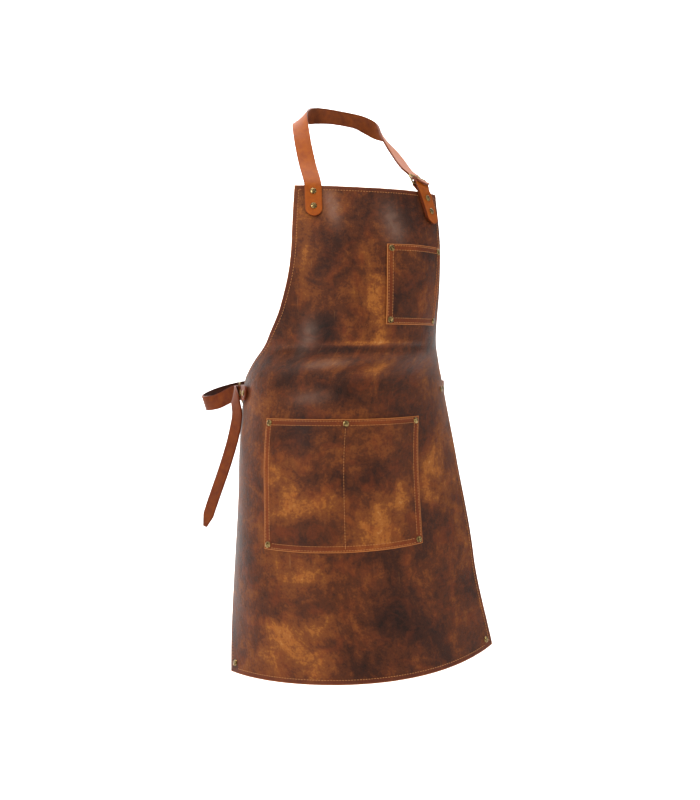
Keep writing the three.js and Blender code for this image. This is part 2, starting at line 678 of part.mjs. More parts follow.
add("neck_strap", cut(neckStrap, [...holesFor("neck_strap"), strapSlot(neckAxes)]), strapLeather);
add("neck_tab", cut(neckTab, [...holesFor("neck_tab"), tabSlot(neckAxes)]), strapLeather);
add("neck_buckle_frame", frameGeometry(neckAxes), agedBrass, buckleMatrix(neckAxes));
add("neck_buckle_prong", prongGeometry(), agedBrass, buckleMatrix(neckAxes));
add("waist_strap", cut(waistStrap, [...holesFor("waist_strap"), strapSlot(waistAxes)]), strapLeather);
add("waist_tab", cut(waistTab, [...holesFor("waist_tab"), tabSlot(waistAxes)]), strapLeather);
add("waist_buckle_frame", frameGeometry(waistAxes), agedBrass, buckleMatrix(waistAxes));
add("waist_buckle_prong", prongGeometry(), agedBrass, buckleMatrix(waistAxes));

export default apron;
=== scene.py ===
# %% [markdown]
# # A leather blacksmith apron
# The apron is one cut hide in its worn form, with two patch pockets, a neck strap and a waist strap.
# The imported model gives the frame: every piece here is made in the same metres and the same place,
# and replaces the plain solid of the same part. Only the looks are added.

import math

import bpy
import numpy as np
from mathutils import Matrix, Vector


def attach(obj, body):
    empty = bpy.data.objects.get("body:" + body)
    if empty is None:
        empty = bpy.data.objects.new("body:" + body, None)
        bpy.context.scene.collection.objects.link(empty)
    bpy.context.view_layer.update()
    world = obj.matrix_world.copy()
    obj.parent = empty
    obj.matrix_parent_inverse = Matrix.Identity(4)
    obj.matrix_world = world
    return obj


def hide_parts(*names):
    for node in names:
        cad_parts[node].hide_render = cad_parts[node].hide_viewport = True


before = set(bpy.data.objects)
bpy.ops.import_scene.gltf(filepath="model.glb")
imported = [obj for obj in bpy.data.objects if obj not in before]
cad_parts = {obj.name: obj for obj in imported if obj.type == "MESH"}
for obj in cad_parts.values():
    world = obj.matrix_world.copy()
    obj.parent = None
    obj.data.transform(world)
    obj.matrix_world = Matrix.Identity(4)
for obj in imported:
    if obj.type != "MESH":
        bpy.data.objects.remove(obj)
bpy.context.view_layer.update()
print("frame nodes:", len(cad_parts))

# %% [markdown]
# ## Camera
# The photo was taken a little to the wearer's right of the front, level with the waist, from about
# two metres. A camera is an object: its place, the direction it looks in and the lens say all of it.

# %% Camera
CAMERA_PLACE = Vector((-0.558, -1.963, -0.428))
CAMERA_LOOK = Vector((0.2757, 0.9608, -0.0279))
LENS_MM = 52.8

lens = bpy.data.cameras.new("photo_camera")
lens.lens = LENS_MM
camera = bpy.data.objects.new("photo_camera", lens)
camera.location = CAMERA_PLACE
camera.rotation_euler = CAMERA_LOOK.to_track_quat("-Z", "Y").to_euler()
bpy.context.collection.objects.link(camera)
bpy.context.scene.camera = camera
print("camera at", tuple(round(x, 3) for x in camera.location))

# %% [markdown]
# ## Small helpers
# Colours are picked as sRGB hex values, as a paint program shows them, but shaders count in linear
# light, so one function turns them. Another adds a node, sets it and links it in one call.

# %% Helpers
MM = 0.001


def linear(hex_colour):
    """sRGB hex to the linear colour that a shader takes."""
    parts = [int(hex_colour[i:i + 2], 16) / 255 for i in (1, 3, 5)]
    return tuple(c / 12.92 if c <= 0.04045 else ((c + 0.055) / 1.055) ** 2.4 for c in parts) + (1.0,)


def feed(tree, socket, value):
    """Links another node's output to a socket, or sets a value on it."""
    if isinstance(value, bpy.types.NodeSocket):
        tree.links.new(value, socket)
    else:
        socket.default_value = value


def add(tree, kind, inputs=None, **settings):
    """Adds a node; inputs maps a socket's name or number to a value or to another node's output."""
    node = tree.nodes.new(kind)
    for name, value in settings.items():
        setattr(node, name, value)
    for key, value in (inputs or {}).items():
        feed(tree, node.inputs[key], value)
    return node


def new_material(name):
    """A material with its shader and its tree, ready for more nodes."""
    material = bpy.data.materials.new(name)
    material.use_nodes = True
    tree = material.node_tree
    return material, tree, tree.nodes["Principled BSDF"]


def calculate(tree, operation, first, second):
    return add(tree, "ShaderNodeMath", {0: first, 1: second}, operation=operation).outputs[0]


def ranged(tree, value, low=0.0, high=1.0, start=0.0, end=1.0, **settings):
    """A value between low and high, turned to between start and end."""
    sockets = {"Value": value, 1: low, 2: high, 3: start, 4: end}
    return add(tree, "ShaderNodeMapRange", sockets, **settings).outputs[0]


def mixed(tree, factor, first, second):
    """Colour between two, each a hex value or another node's output."""
    first, second = (linear(c) if isinstance(c, str) else c for c in (first, second))
    return add(tree, "ShaderNodeMix", {"Factor": factor, 6: first, 7: second}, data_type="RGBA").outputs[2]


def noise(tree, place, size_mm, detail, roughness=0.5, distortion=0.0):
    """Noise whose features are about size_mm millimetres wide."""
    sockets = {"Vector": place, "Scale": 1 / (size_mm * MM), "Detail": detail}
    sockets.update({"Roughness": roughness, "Distortion": distortion})
    return add(tree, "ShaderNodeTexNoise", sockets).outputs["Fac"]


def attribute(tree, name):
    return add(tree, "ShaderNodeAttribute", attribute_name=name).outputs["Fac"]


def surface(tree, shader, colour, roughness, height, strength):
    """Gives the shader its colour, its roughness and a bump of that height in metres."""
    sockets = {"Height": height, "Strength": strength, "Distance": 1.0}
    bump = add(tree, "ShaderNodeBump", sockets).outputs["Normal"]
    for name, value in (("Base Color", colour), ("Roughness", roughness), ("Normal", bump)):
        feed(tree, shader.inputs[name], value)


def deselect():
    bpy.ops.object.select_all(action="DESELECT")


def mode(name):
    bpy.ops.object.mode_set(mode=name)


def apply_place():
    bpy.ops.object.transform_apply(location=True, rotation=True, scale=True)


def put(name, data):
    """A new object of that name in the scene."""
    piece = bpy.data.objects.new(name, data)
    bpy.context.collection.objects.link(piece)
    return piece


# %% [markdown]
# ## The pattern of the hide
# A maker cuts the hide flat and it then hangs in a curve round the body. So a place on it is told by
# the flat pattern: s across from the middle line and t down from the bib's top edge. One function
# walks across each curved section by these measures, so the leather keeps its real width and length.
# The same sizes shape the solids of the frame. CUT, DRAPE and the camera aren't chosen by hand: another
# program fitted them to the outline in a photo, and the values of CUT and DRAPE were then rounded.

# %% Sizes of the apron
APRON_LENGTH = 800
SKIRT_HALF_WIDTH = 252
HIDE_THICKNESS = 2.2
NAPE_TO_BIB = 141
NAPE_TO_CHEST = 163
HEM_LIFT = 31
POCKET_THICKNESS = 2
POCKET_FULLNESS = 2.4
LAYER_GAP = 0.5
CHEST_POCKET = dict(middle=73.5, half=59, top=99, depth=128, bow=0, lobes=1)
WAIST_POCKET = dict(middle=1.5, half=133, top=386, depth=207, bow=3, lobes=2)

CUT = dict(
    down=[0, 0.075, 0.1625, 0.25, 0.3125, 0.35, 0.3875, 0.4125, 0.43125, 0.6, 0.8, 1],
    half=[0.52, 0.54, 0.559, 0.626, 0.738, 0.818, 0.871, 0.953, 0.992, 1, 1.013, 1],
)
DRAPE = dict(
    down=[0, 0.15, 0.3125, 0.4125, 0.6, 0.8, 1],
    right=[57, 72, 87, 100, 103, 97, 71],
    left=[84, 82, 91, 75, 53, 42, 37],
    right_round=[1.8, 1.5, 1.15, 1.05, 1.1, 1.15, 1],
    left_round=[1.15, 1.05, 0.85, 1.15, 1.15, 1.3, 1.2],
    twist=[2.5, 2.5, -0.5, -4, -4, -4, 0],
    across=[0, -0.025, -0.055, -0.19, -0.24, -0.235, -0.12],
    forward=[1, 1.235, 1.31, 1.1, 1.14, 1.225, 1.42],
)


def eased(x, y):
    """Smooth curve through rows that never overshoots them, straight beyond its ends."""
    x, y = np.array(x, float), np.array(y, float)
    rise = np.diff(y) / np.diff(x)
    slope = np.empty_like(y)
    slope[0], slope[-1] = rise[0], rise[-1]
    both = rise[:-1] * rise[1:]
    total = np.where(both > 0, rise[:-1] + rise[1:], 1)
    slope[1:-1] = np.where(both > 0, 2 * both / total, 0)

    def at(value):
        value = np.asarray(value, float)
        i = np.clip(np.searchsorted(x, value, "right") - 1, 0, len(x) - 2)
        h = x[i + 1] - x[i]
        u = np.clip((value - x[i]) / h, 0, 1)
        v = 1 - u
        inside = v * v * (1 + 2 * u) * y[i] + u * v * v * h * slope[i]
        inside = inside + u * u * (3 - 2 * u) * y[i + 1] - u * u * v * h * slope[i + 1]
        before = np.minimum(value - x[0], 0) * slope[0]
        after = np.maximum(value - x[-1], 0) * slope[-1]
        return inside + before + after

    return at


drape = {key: eased(DRAPE["down"], DRAPE[key]) for key in DRAPE if key != "down"}
cut_half = eased(CUT["down"], CUT["half"])


def half_width(t):
    return SKIRT_HALF_WIDTH * cut_half(np.asarray(t) / APRON_LENGTH)


def forward(t):
    return NAPE_TO_CHEST * drape["forward"](np.asarray(t) / APRON_LENGTH)


DROP_STEP = 5
levels = np.arange(0, APRON_LENGTH + 2 * DROP_STEP, DROP_STEP)
drops = np.concatenate([[0], np.cumsum(np.sqrt(DROP_STEP**2 - np.diff(forward(levels)) ** 2))])


def drop(t):
    """Height lost along the middle line, so that the line keeps the leather's length."""
    return np.interp(t, levels, drops) + np.minimum(t, 0) * drops[1] / DROP_STEP


# %% [markdown]
# ## Soft relief
# Thick leather has no sharp folds, but it has been worn: a soft crease crosses the waist where the
# wearer bends, with a fuller roll under it, and long shallow waves run down the skirt. The relief is
# a small height along the hide's outward direction, so all that lies on the hide follows it.

# %% Relief of the hide
CREASE_LEVEL = 262
CREASE_SLOPE = 0.02
CREASE_DEPTH = 2.8
CREASE_REACH = 5.5
CREASE_RIGHT, CREASE_LEFT = -165, 95
ROLL_HEIGHT = 3.2
ROLL_REACH = 20
WAVE_HEIGHT, RIPPLE_HEIGHT = 0.9, 0.5
CALM_BORDER = 60


def hump(value, middle, reach):
    return np.exp(-(((value - middle) / reach) ** 2))


def relief(s, t):
    """Height of the worn hide over its smooth form, calm near the top edge and the hem."""
    s, t = np.asarray(s, float), np.asarray(t, float)
    inside = 1 / (1 + np.exp(-(s - CREASE_RIGHT) / 14)) / (1 + np.exp((s - CREASE_LEFT) / 16))
    level = CREASE_LEVEL - CREASE_SLOPE * s
    roll = ROLL_HEIGHT * hump(t, level + 26, ROLL_REACH)
    crease = roll - CREASE_DEPTH * hump(t, level + 2, CREASE_REACH)
    waves = WAVE_HEIGHT * np.sin(s / 38 + t / 190) * hump(t, 640, 190)
    waves = waves + RIPPLE_HEIGHT * np.sin(s / 21 - t / 75)
    top = np.clip((t - CALM_BORDER) / CALM_BORDER, 0, 1)
    hem = np.clip((APRON_LENGTH + 20 - t) / CALM_BORDER, 0, 1)
    return inside * crease * top * hem + waves * top * hem * hump(s, 0, 190)


# %% Points on the hide
WALK_STEPS = 24


def hide_base(s, t):
    """Place of a pattern point on the smooth hide, walked across from the middle line."""
    s, t = np.broadcast_arrays(np.asarray(s, float), np.asarray(t, float))
    down = t / APRON_LENGTH
    right, left = np.radians(drape["right"](down)), np.radians(drape["left"](down))
    twist = np.radians(drape["twist"](down))
    x = SKIRT_HALF_WIDTH * drape["across"](down)
    y = -forward(t)
    for i in range(WALK_STEPS):
        share = s * (i + 0.5) / WALK_STEPS / SKIRT_HALF_WIDTH
        back = right * np.maximum(-share, 0) ** drape["right_round"](down)
        turn = left * np.maximum(share, 0) ** drape["left_round"](down) - back + twist
        x = x + s / WALK_STEPS * np.cos(turn)
        y = y + s / WALK_STEPS * np.sin(turn)
    side = np.maximum(s / SKIRT_HALF_WIDTH, 0)
    z = -NAPE_TO_BIB - drop(t) + HEM_LIFT * side**2 * np.maximum(down, 0) ** 1.5
    return np.stack([x, y, z], -1)


def unit(vectors):
    return vectors / np.linalg.norm(vectors, axis=-1, keepdims=True)


def measures(line):
    """Length along a line of points up to each of them."""
    return np.concatenate([[0], np.cumsum(np.linalg.norm(np.diff(line, axis=0), axis=1))])


def along_line(marks, line, lengths):
    """The line's coordinates at those lengths, one array for each."""
    return [np.interp(marks, lengths, line[:, k]) for k in range(line.shape[1])]


def pattern_line(s, t):
    return np.stack(np.broadcast_arrays(s, t), -1)


def hide_axes(s, t):
    """Directions on the hide: across to the wearer's left, up, and out of its front."""
    across = unit(hide_base(s + 0.5, t) - hide_base(s - 0.5, t))
    upward = unit(hide_base(s, t - 0.5) - hide_base(s, t + 0.5))
    return across, upward, unit(np.cross(across, upward))


def on_hide(s, t, off=0.0):
    """Place in millimetres over the pattern point, off millimetres in front of the hide."""
    s, t = np.asarray(s, float), np.asarray(t, float)
    out = hide_axes(s, t)[2]
    return hide_base(s, t) + out * (relief(s, t) + off)[..., None]


print("waist width of the cut:", round(float(2 * half_width(300))), "mm")

# %% [markdown]
# ## A sheet of leather
# Each leather piece starts as a flat grid, as a maker starts from a flat blank. Its points are
# carried to their places, then Solidify gives the wall its thickness and Bevel rounds the cut edge.
# Solidify also sets other materials on the flesh side and on the cut edge.

# %% Leather sheet
SHARP = math.radians(50)


def leather_sheet(name, columns, rows, place, thickness, materials, offset=-1.0, edge=0.4):
    """place(u, v) takes shares from -1 to 1 and gives points, pattern places and named values, in mm."""
    deselect()
    bpy.ops.mesh.primitive_grid_add(x_subdivisions=columns, y_subdivisions=rows, size=2)
    piece = bpy.context.active_object
    piece.name = name
    mesh = piece.data
    mesh.name = name
    flat = np.empty(len(mesh.vertices) * 3)
    mesh.vertices.foreach_get("co", flat)
    flat = flat.reshape(-1, 3)
    points, pattern, values = place(flat[:, 0], flat[:, 1])
    mesh.vertices.foreach_set("co", (points * MM).ravel())
    corner = np.empty(len(mesh.loops), int)
    mesh.loops.foreach_get("vertex_index", corner)
    mesh.uv_layers[0].name = "pattern"
    mesh.uv_layers[0].data.foreach_set("uv", (pattern[corner] * MM).ravel())
    for key, value in values.items():
        mesh.attributes.new(key, "FLOAT", "POINT").data.foreach_set("value", np.asarray(value, float))
    mesh.update()
    for material in materials:
        mesh.materials.append(material)
    wall = piece.modifiers.new("wall", "SOLIDIFY")
    wall.thickness = thickness * MM
    wall.offset = offset
    wall.use_quality_normals = True
    wall.material_offset = 1
    wall.material_offset_rim = 2
    bevel = piece.modifiers.new("edge", "BEVEL")
    bevel.width = edge * MM
    bevel.segments = 2
    bevel.limit_method = "ANGLE"
    bevel.angle_limit = SHARP
    bpy.ops.object.modifier_apply(modifier="wall")
    bpy.ops.object.modifier_apply(modifier="edge")
    bpy.ops.object.shade_smooth_by_angle(angle=SHARP)
    return piece


def settle(piece, slot, *nodes):
    """The finished piece rides on the frame and stands for its plain solids."""
    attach(piece, "root")
    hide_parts(*nodes)
    print(piece.name, len(piece.data.polygons), "faces")


# %% [markdown]
# ## Oiled pull-up leather
# The hide is oil-filled full-grain leather. Where it is bent or rubbed the oil moves away and the
# colour turns lighter, so it is clouded, from near black to caramel, and it has fine creases and a
# dull sheen. Clouds of several sizes are mixed here: noise gives the small ones, and an attribute
# painted on the mesh gives the large ones their place; along the waist crease some of these are a
# painted highlight and a painted shade. A second attribute mixes in a painted grey highlight where
# the sheen of the lamps lies. Distance to the cut edge darkens the border.

# %% Cloud colours of pull-up leather
CLOUD_COLOURS = [
    (0.0, "#1d0b04"),
    (0.2, "#321507"),
    (0.38, "#4c230c"),
    (0.55, "#6c3814"),
    (0.72, "#92541f"),
    (0.92, "#bd8244"),
]
LEATHER_IOR = 1.47
LEATHER_SPECULAR = 0.2


def new_leather(name):
    """A leather's material, its tree, its shader and its place on the pattern."""
    material, tree, shader = new_material(name)
    shader.inputs["IOR"].default_value = LEATHER_IOR
    shader.inputs["Specular IOR Level"].default_value = LEATHER_SPECULAR
    return material, tree, shader, add(tree, "ShaderNodeUVMap", uv_map="pattern").outputs["UV"]


def pull_up_leather(name, seed, border):
    """Oiled leather; border is (end in mm, colour, share) of the strip inside its cut edge."""
    material, tree, shader, pattern = new_leather(name)
    moved = {"Vector": pattern, "Location": (seed, seed * 0.7, seed)}
    place = add(tree, "ShaderNodeMapping", moved).outputs[0]

    def cloud(size, detail, distortion=0.0, stretch=(1, 1, 1)):
        wide = add(tree, "ShaderNodeMapping", {"Vector": place, "Scale": stretch}).outputs[0]
        return noise(tree, wide, size, detail, 0.62, distortion)

    def sum_of(*terms):
        total = None
        for value, factor in terms:
            scaled = calculate(tree, "MULTIPLY", value, factor)
            total = scaled if total is None else calculate(tree, "ADD", total, scaled)
        return total

    edge = attribute(tree, "edge")
    large = cloud(150, 4, 0.6)
    middle = cloud(58, 6, 0.9)
    small = cloud(10, 6, 0.6)
    streak = cloud(30, 6, 1.2, (1, 0.35, 1))
    fine = cloud(3.2, 5, 0.4)
    mottle = sum_of((large, 1.05), (middle, 0.7), (small, 0.42), (streak, 0.4), (fine, 0.42),
                    (attribute(tree, "cloud"), 1.05))
    level = calculate(tree, "SUBTRACT", mottle, 1.1)
    ramp = add(tree, "ShaderNodeValToRGB", {"Fac": level})
    ramp.color_ramp.interpolation = "EASE"
    while len(ramp.color_ramp.elements) < len(CLOUD_COLOURS):
        ramp.color_ramp.elements.new(0.5)
    for element, (position, colour) in zip(ramp.color_ramp.elements, CLOUD_COLOURS):
        element.position = position
        element.color = linear(colour)

    warm = ranged(tree, cloud(40, 4, 1.0), 0.5, 0.75, 0.0, 0.3)
    ruddy = mixed(tree, warm, ramp.outputs[0], "#8a3c12")
    # A painted grey highlight, the sheen of the lamps on the oiled hide, is mixed in where the hide's
    # painted highlight attribute is set.
    painted_highlight_mask = calculate(tree, "MULTIPLY", attribute(tree, "bloom"), cloud(16, 5, 0.8))
    with_painted_highlight = mixed(tree, painted_highlight_mask, ruddy, "#84685a")
    end, strip_colour, share = border
    strip = ranged(tree, edge, end - 0.8, end + 1.6, share, 0.0, interpolation_type="SMOOTHSTEP")
    bordered = mixed(tree, strip, with_painted_highlight, strip_colour)
    rubbed = mixed(tree, ranged(tree, edge, 0.4, 1.5, 0.75, 0.0), bordered, "#c47a3f")
    scratch = ranged(tree, cloud(5, 2, 0.4, (1, 0.06, 1)), 0.7, 0.8, 0.0, 0.22)
    scratched = mixed(tree, scratch, rubbed, "#b97f4e")

    cells = {"Vector": place, "Scale": 1 / (1.7 * MM), "Randomness": 1.0}
    grain = add(tree, "ShaderNodeTexVoronoi", cells, feature="DISTANCE_TO_EDGE").outputs["Distance"]
    folds = cloud(7, 8, 2.2, (1, 0.55, 1))
    height = sum_of((grain, 0.00011), (folds, 0.0011), (cloud(0.9, 3), 0.00016), (middle, 0.0016))
    surface(tree, shader, scratched, ranged(tree, mottle, 0.9, 1.6, 0.36, 0.56), height, 0.85)
    return material


# %% [markdown]
# ## The other leathers
# The flesh side is fibrous and dull. A cut edge shows the pale core, darkened by handling. The straps
# are bridle leather: dyed tan, waxed and rolled smooth, with an even colour and a soft gloss. The waist
# strap and its tab take darker copies, partly a darker leather and partly painted shade, as its loose
# end and the inside of its loop hang in shade; their flesh side is near black with painted shade.

# %% Flesh side, cut edge and bridle leather
def plain_leather(name, colours, roughness, grain_mm, height):
    """Leather with one dye: its dark and light tone, the width of its grain and the grain's height."""
    material, tree, shader, pattern = new_leather(name)
    tone = noise(tree, pattern, 14, 8, 0.7)
    dye = mixed(tree, ranged(tree, tone, 0.3, 0.7), *colours)
    burnish = ranged(tree, attribute(tree, "edge"), 0.4, 2.2, 0.45, 0.0)
    lift = calculate(tree, "MULTIPLY", noise(tree, pattern, grain_mm, 5, 0.7), height * MM)
    patchy = ranged(tree, tone, start=roughness - 0.08, end=roughness + 0.08)
    surface(tree, shader, mixed(tree, burnish, dye, colours[0]), patchy, lift, 0.8)
    return material


hide_grain = pull_up_leather("oiled_pull_up_hide", 0.0, (6.5, "#5a2711", 0.6))
pocket_grain = pull_up_leather("oiled_pull_up_pocket", 3.1, (9.5, "#7a3510", 0.45))
flesh = plain_leather("suede_flesh_side", ("#3c2010", "#5c371d"), 0.92, 1.6, 0.5)
cut_edge = plain_leather("cut_leather_edge", ("#a25f2c", "#cf8f55"), 0.75, 0.8, 0.2)
bridle = plain_leather("tan_bridle_leather", ("#863a01", "#a25004"), 0.5, 1.4, 0.12)
# The waist strap and its tab take darker copies: partly a darker leather, partly painted shade of its
# hanging end and of the inside of its loop; the near-black flesh side is painted shade.
dark_and_shaded_bridle = plain_leather("dark_and_shaded_bridle_leather", ("#521c01", "#763402"), 0.52, 1.4, 0.12)
bridle_flesh = plain_leather("bridle_flesh_side", ("#4e1f04", "#77370a"), 0.8, 1.2, 0.3)
dark_and_shaded_flesh = plain_leather("dark_and_shaded_bridle_flesh_side", ("#220a01", "#3c1402"), 0.8, 1.2, 0.3)
bridle_edge = plain_leather("burnished_strap_edge", ("#552008", "#7e3812"), 0.5, 0.8, 0.08)
print("leathers:", [m.name for m in bpy.data.materials if "leather" in m.name or "hide" in m.name])

# %% [markdown]
# ## The hide
# One sheet, with its outline from the cut. Three values go with each point: the distance to the
# nearest cut edge, the large clouds where rubbing has lightened or soil has darkened the hide, with a
# painted highlight and a painted shade along the waist crease among them, and a painted grey
# highlight where the sheen of the lamps lies on the oiled hide. The clouds are set one by one, in
# places on the pattern.

# %% Clouds on the hide
CLOUDS = [
    dict(s=-11, t=169, across=24, down=44, tilt=-12, light=0.24),
    dict(s=8, t=242, across=16, down=34, tilt=0, light=0.18),
    dict(s=-118, t=128, across=14, down=34, tilt=0, light=0.2),
    dict(s=34, t=306, across=48, down=17, tilt=-8, light=0.26),
    dict(s=152, t=500, across=16, down=42, tilt=0, light=0.2),
    dict(s=-105, t=736, across=74, down=50, tilt=-15, light=0.22),
    dict(s=-48, t=632, across=44, down=14, tilt=-6, light=0.24),
    dict(s=-83, t=242, across=34, down=28, tilt=0, light=-0.28),
    # Painted highlight on the upper lip of the waist crease, then painted shade in the crease below it.
    dict(s=-25, t=257, across=95, down=4, tilt=-1, light=0.26),
    dict(s=-30, t=267, across=80, down=6, tilt=-2, light=-0.22),
    dict(s=-34, t=326, across=64, down=22, tilt=4, light=-0.22),
    dict(s=58, t=700, across=66, down=46, tilt=0, light=-0.22),
]
# Painted grey highlights: the sheen of the lamps on the bib and on the roll under the waist crease.
PAINTED_HIGHLIGHTS = [
    dict(s=-73, t=36, across=12, down=32, tilt=-10, light=0.9),
    dict(s=28, t=66, across=18, down=36, tilt=-14, light=0.8),
    dict(s=-108, t=245, across=14, down=26, tilt=0, light=0.7),
    dict(s=-57, t=294, across=36, down=9, tilt=-6, light=0.8),
    dict(s=-60, t=352, across=28, down=10, tilt=-4, light=0.5),
]


def painted(rows, s, t):
    """Sum of soft oval clouds at pattern places."""
    total = np.zeros_like(s)
    for row in rows:
        turn = math.radians(row["tilt"])
        x, y = s - row["s"], t - row["t"]
        along = (x * math.cos(turn) + y * math.sin(turn)) / row["across"]
        beside = (y * math.cos(turn) - x * math.sin(turn)) / row["down"]
        total += row["light"] * np.exp(-(along**2) - beside**2)
    return total


def hide_edge(s, t):
    lean = (half_width(t + 1) - half_width(t - 1)) / 2
    side = (half_width(t) - np.abs(s)) / np.sqrt(1 + lean**2)
    return np.minimum(np.minimum(t, APRON_LENGTH - t), side)


def hide_place(u, v):
    t = APRON_LENGTH * (1 - v) / 2
    s = u * half_width(t)
    values = dict(edge=hide_edge(s, t), cloud=painted(CLOUDS, s, t), bloom=painted(PAINTED_HIGHLIGHTS, s, t))
    return on_hide(s, t), np.stack([s, t], -1), values


# %% Hide
hide = leather_sheet("hide", 150, 210, hide_place, HIDE_THICKNESS, [hide_grain, flesh, cut_edge])
settle(hide, "hide_leather", "apron_panel")
rows_down = np.arange(0, APRON_LENGTH + 1)
hide_area = float(np.trapz(2 * half_width(rows_down), rows_down)) * MM * MM
hide_width = float(2 * half_width(rows_down).max()) * MM
print("hide:", round(hide_width, 3), "by", APRON_LENGTH * MM, "m, area", round(hide_area, 3), "m2")

# %% [markdown]
# ## Patch pockets
# A pocket is a second, slightly thinner piece stitched on along three sides. It is a little full in
# its middle, so that a hand goes in, and the wide one is stitched down its middle into two.

# %% Pockets
def pocket_low(pocket, u):
    """Level of the pocket's lower edge at a share across it."""
    return pocket["top"] + pocket["depth"] + pocket["bow"] * (1 - u**2)


def pocket_face(pocket, u, share):
    """Height of its face over the hide; share runs from its lower edge up to its mouth."""
    across = np.sin(np.pi * pocket["lobes"] * 0.5 * (u + 1)) ** 2
    along = np.sin(np.pi * np.minimum(share, 0.85) / 1.7)
    return LAYER_GAP + POCKET_THICKNESS + POCKET_FULLNESS * across * along


def pocket_sheet(name, node, pocket, columns, rows, clouds):
    def place(u, v):
        low = pocket_low(pocket, u)
        share = (v + 1) / 2
        t = low + (pocket["top"] - low) * share
        s = pocket["middle"] + u * pocket["half"]
        off = pocket_face(pocket, u, share)
        beside = pocket["half"] * (1 - np.abs(u))
        edge = np.minimum(np.minimum(t - pocket["top"], low - t), beside)
        values = dict(edge=edge, cloud=painted(clouds, s, t), bloom=np.zeros_like(s))
        return on_hide(s, t, off), np.stack([s, t], -1), values

    piece = leather_sheet(name, columns, rows, place, POCKET_THICKNESS, [pocket_grain, flesh, cut_edge])
    settle(piece, "pocket_leather", node)


CHEST_CLOUDS = [dict(s=95, t=190, across=24, down=26, tilt=0, light=0.1)]
WAIST_CLOUDS = [
    dict(s=-52, t=524, across=48, down=20, tilt=-12, light=0.26),
    dict(s=92, t=517, across=22, down=17, tilt=0, light=0.2),
    dict(s=95, t=493, across=8, down=8, tilt=0, light=0.16),
    dict(s=52, t=485, across=24, down=28, tilt=0, light=-0.24),
    dict(s=-80, t=430, across=40, down=24, tilt=0, light=-0.12),
]
pocket_sheet("chest_patch_pocket", "chest_pocket", CHEST_POCKET, 58, 64, CHEST_CLOUDS)
pocket_sheet("waist_patch_pocket", "waist_pocket", WAIST_POCKET, 132, 104, WAIST_CLOUDS)

# %% [markdown]
# ## Buckle frames
# Both buckles are cast in brass: a bar frame with rounded corners, and a prong of bent wire. Their
# directions say where the straps run, so they come before the straps: c lies across the strap, e
# points from the bar that the tab folds round to the outer bar, and n points out of the front.

# %% Buckle places
NECK_STRAP_WIDTH = 27
WAIST_STRAP_WIDTH = 25
STRAP_THICKNESS = 3
TAB_THICKNESS = 2.2
NECK_STRAP_OFFSET = 102
NECK_TAB_OFFSET = 95
NECK_TAB_LEAN = 0.3
NECK_TAB_SWAY = 2
NECK_BUCKLE_SHIFT = 5
NECK_OVERLAP = 55
NECK_TAB_OVERLAP = 58
NECK_SPREAD = 200
WAIST_LEVEL = 347
WAIST_TAB_LENGTH = 52
WAIST_OVERLAP = 44
BELT_HALF_WIDTH = 195
BELT_DEPTH = 250
TAIL_LENGTH = 235
BAR = 3.2
PITCH = 19
FRAME_CORNER = 0.55 * BAR
WINDOW_PLAY = 2.4
METAL_GAP = 0.35
BUCKLE_STANDOFF = 4.8
NECK_BUCKLE_RISE = 9
NECK_BUCKLE_TURN, NECK_BUCKLE_DIP, NECK_BUCKLE_LEAN = np.radians([21, 13, 42])
WAIST_BUCKLE_REACH = 10
WAIST_BUCKLE_TURN, WAIST_BUCKLE_TILT = np.radians([10, 8])
UP = np.array([0.0, 0.0, 1.0])
waist_edge = float(half_width(WAIST_LEVEL))


def buckle(origin, c, e, width):
    e = unit(e - e.dot(c) * c)
    return dict(origin=origin, c=c, e=e, n=np.cross(c, e), width=width)


def neck_tab_line(t):
    """Middle line of the neck tab on the pattern, swung towards the bib's middle at its top."""
    upper = np.maximum(0, 1 - 2 * t / NECK_TAB_OVERLAP)
    return NECK_TAB_OFFSET + t * NECK_TAB_LEAN - NECK_TAB_SWAY * upper**2


def neck_buckle():
    level = np.array([math.cos(NECK_BUCKLE_TURN), math.sin(NECK_BUCKLE_TURN), 0])
    c = level * math.cos(NECK_BUCKLE_DIP) - UP * math.sin(NECK_BUCKLE_DIP)
    e = np.array([0, math.sin(NECK_BUCKLE_LEAN), math.cos(NECK_BUCKLE_LEAN)])
    s = neck_tab_line(-NECK_BUCKLE_RISE) - NECK_BUCKLE_SHIFT
    return buckle(on_hide(s, -NECK_BUCKLE_RISE, BUCKLE_STANDOFF), c, e, NECK_STRAP_WIDTH)


def waist_buckle():
    s = -waist_edge - WAIST_BUCKLE_REACH
    across, _, out = hide_axes(s, WAIST_LEVEL)
    e = unit(across * (-1, -1, 0))
    sine, cosine = math.sin(WAIST_BUCKLE_TURN), math.cos(WAIST_BUCKLE_TURN)
    e = np.array([e[0] * cosine - e[1] * sine, e[0] * sine + e[1] * cosine, 0])
    c = UP * math.cos(WAIST_BUCKLE_TILT) + out * math.sin(WAIST_BUCKLE_TILT)
    c = unit(c - c.dot(e) * e)
    return buckle(on_hide(s, WAIST_LEVEL, BUCKLE_STANDOFF), c, e, WAIST_STRAP_WIDTH)


neck_axes = neck_buckle()
waist_axes = waist_buckle()


def at_buckle(axes, e, n, c=0.0):
    return axes["origin"] + axes["e"] * e + axes["n"] * n + axes["c"] * c


def to_buckle(piece, axes):
    """Puts a piece that was made flat at the origin, in metres, onto a buckle's place."""
    turn = Matrix([[axes[k][i] for k in "cen"] for i in range(3)]).to_4x4()
    piece.data.transform(Matrix.Translation(Vector(axes["origin"] * MM)) @ turn)
    piece.data.update()


# %% [markdown]
# ## Aged brass
# The fittings are antiqued brass: a brown patina stays in the hollows and rubbed places shine
# through. Noise mixes the patina in and breaks the gloss, as years of handling do.

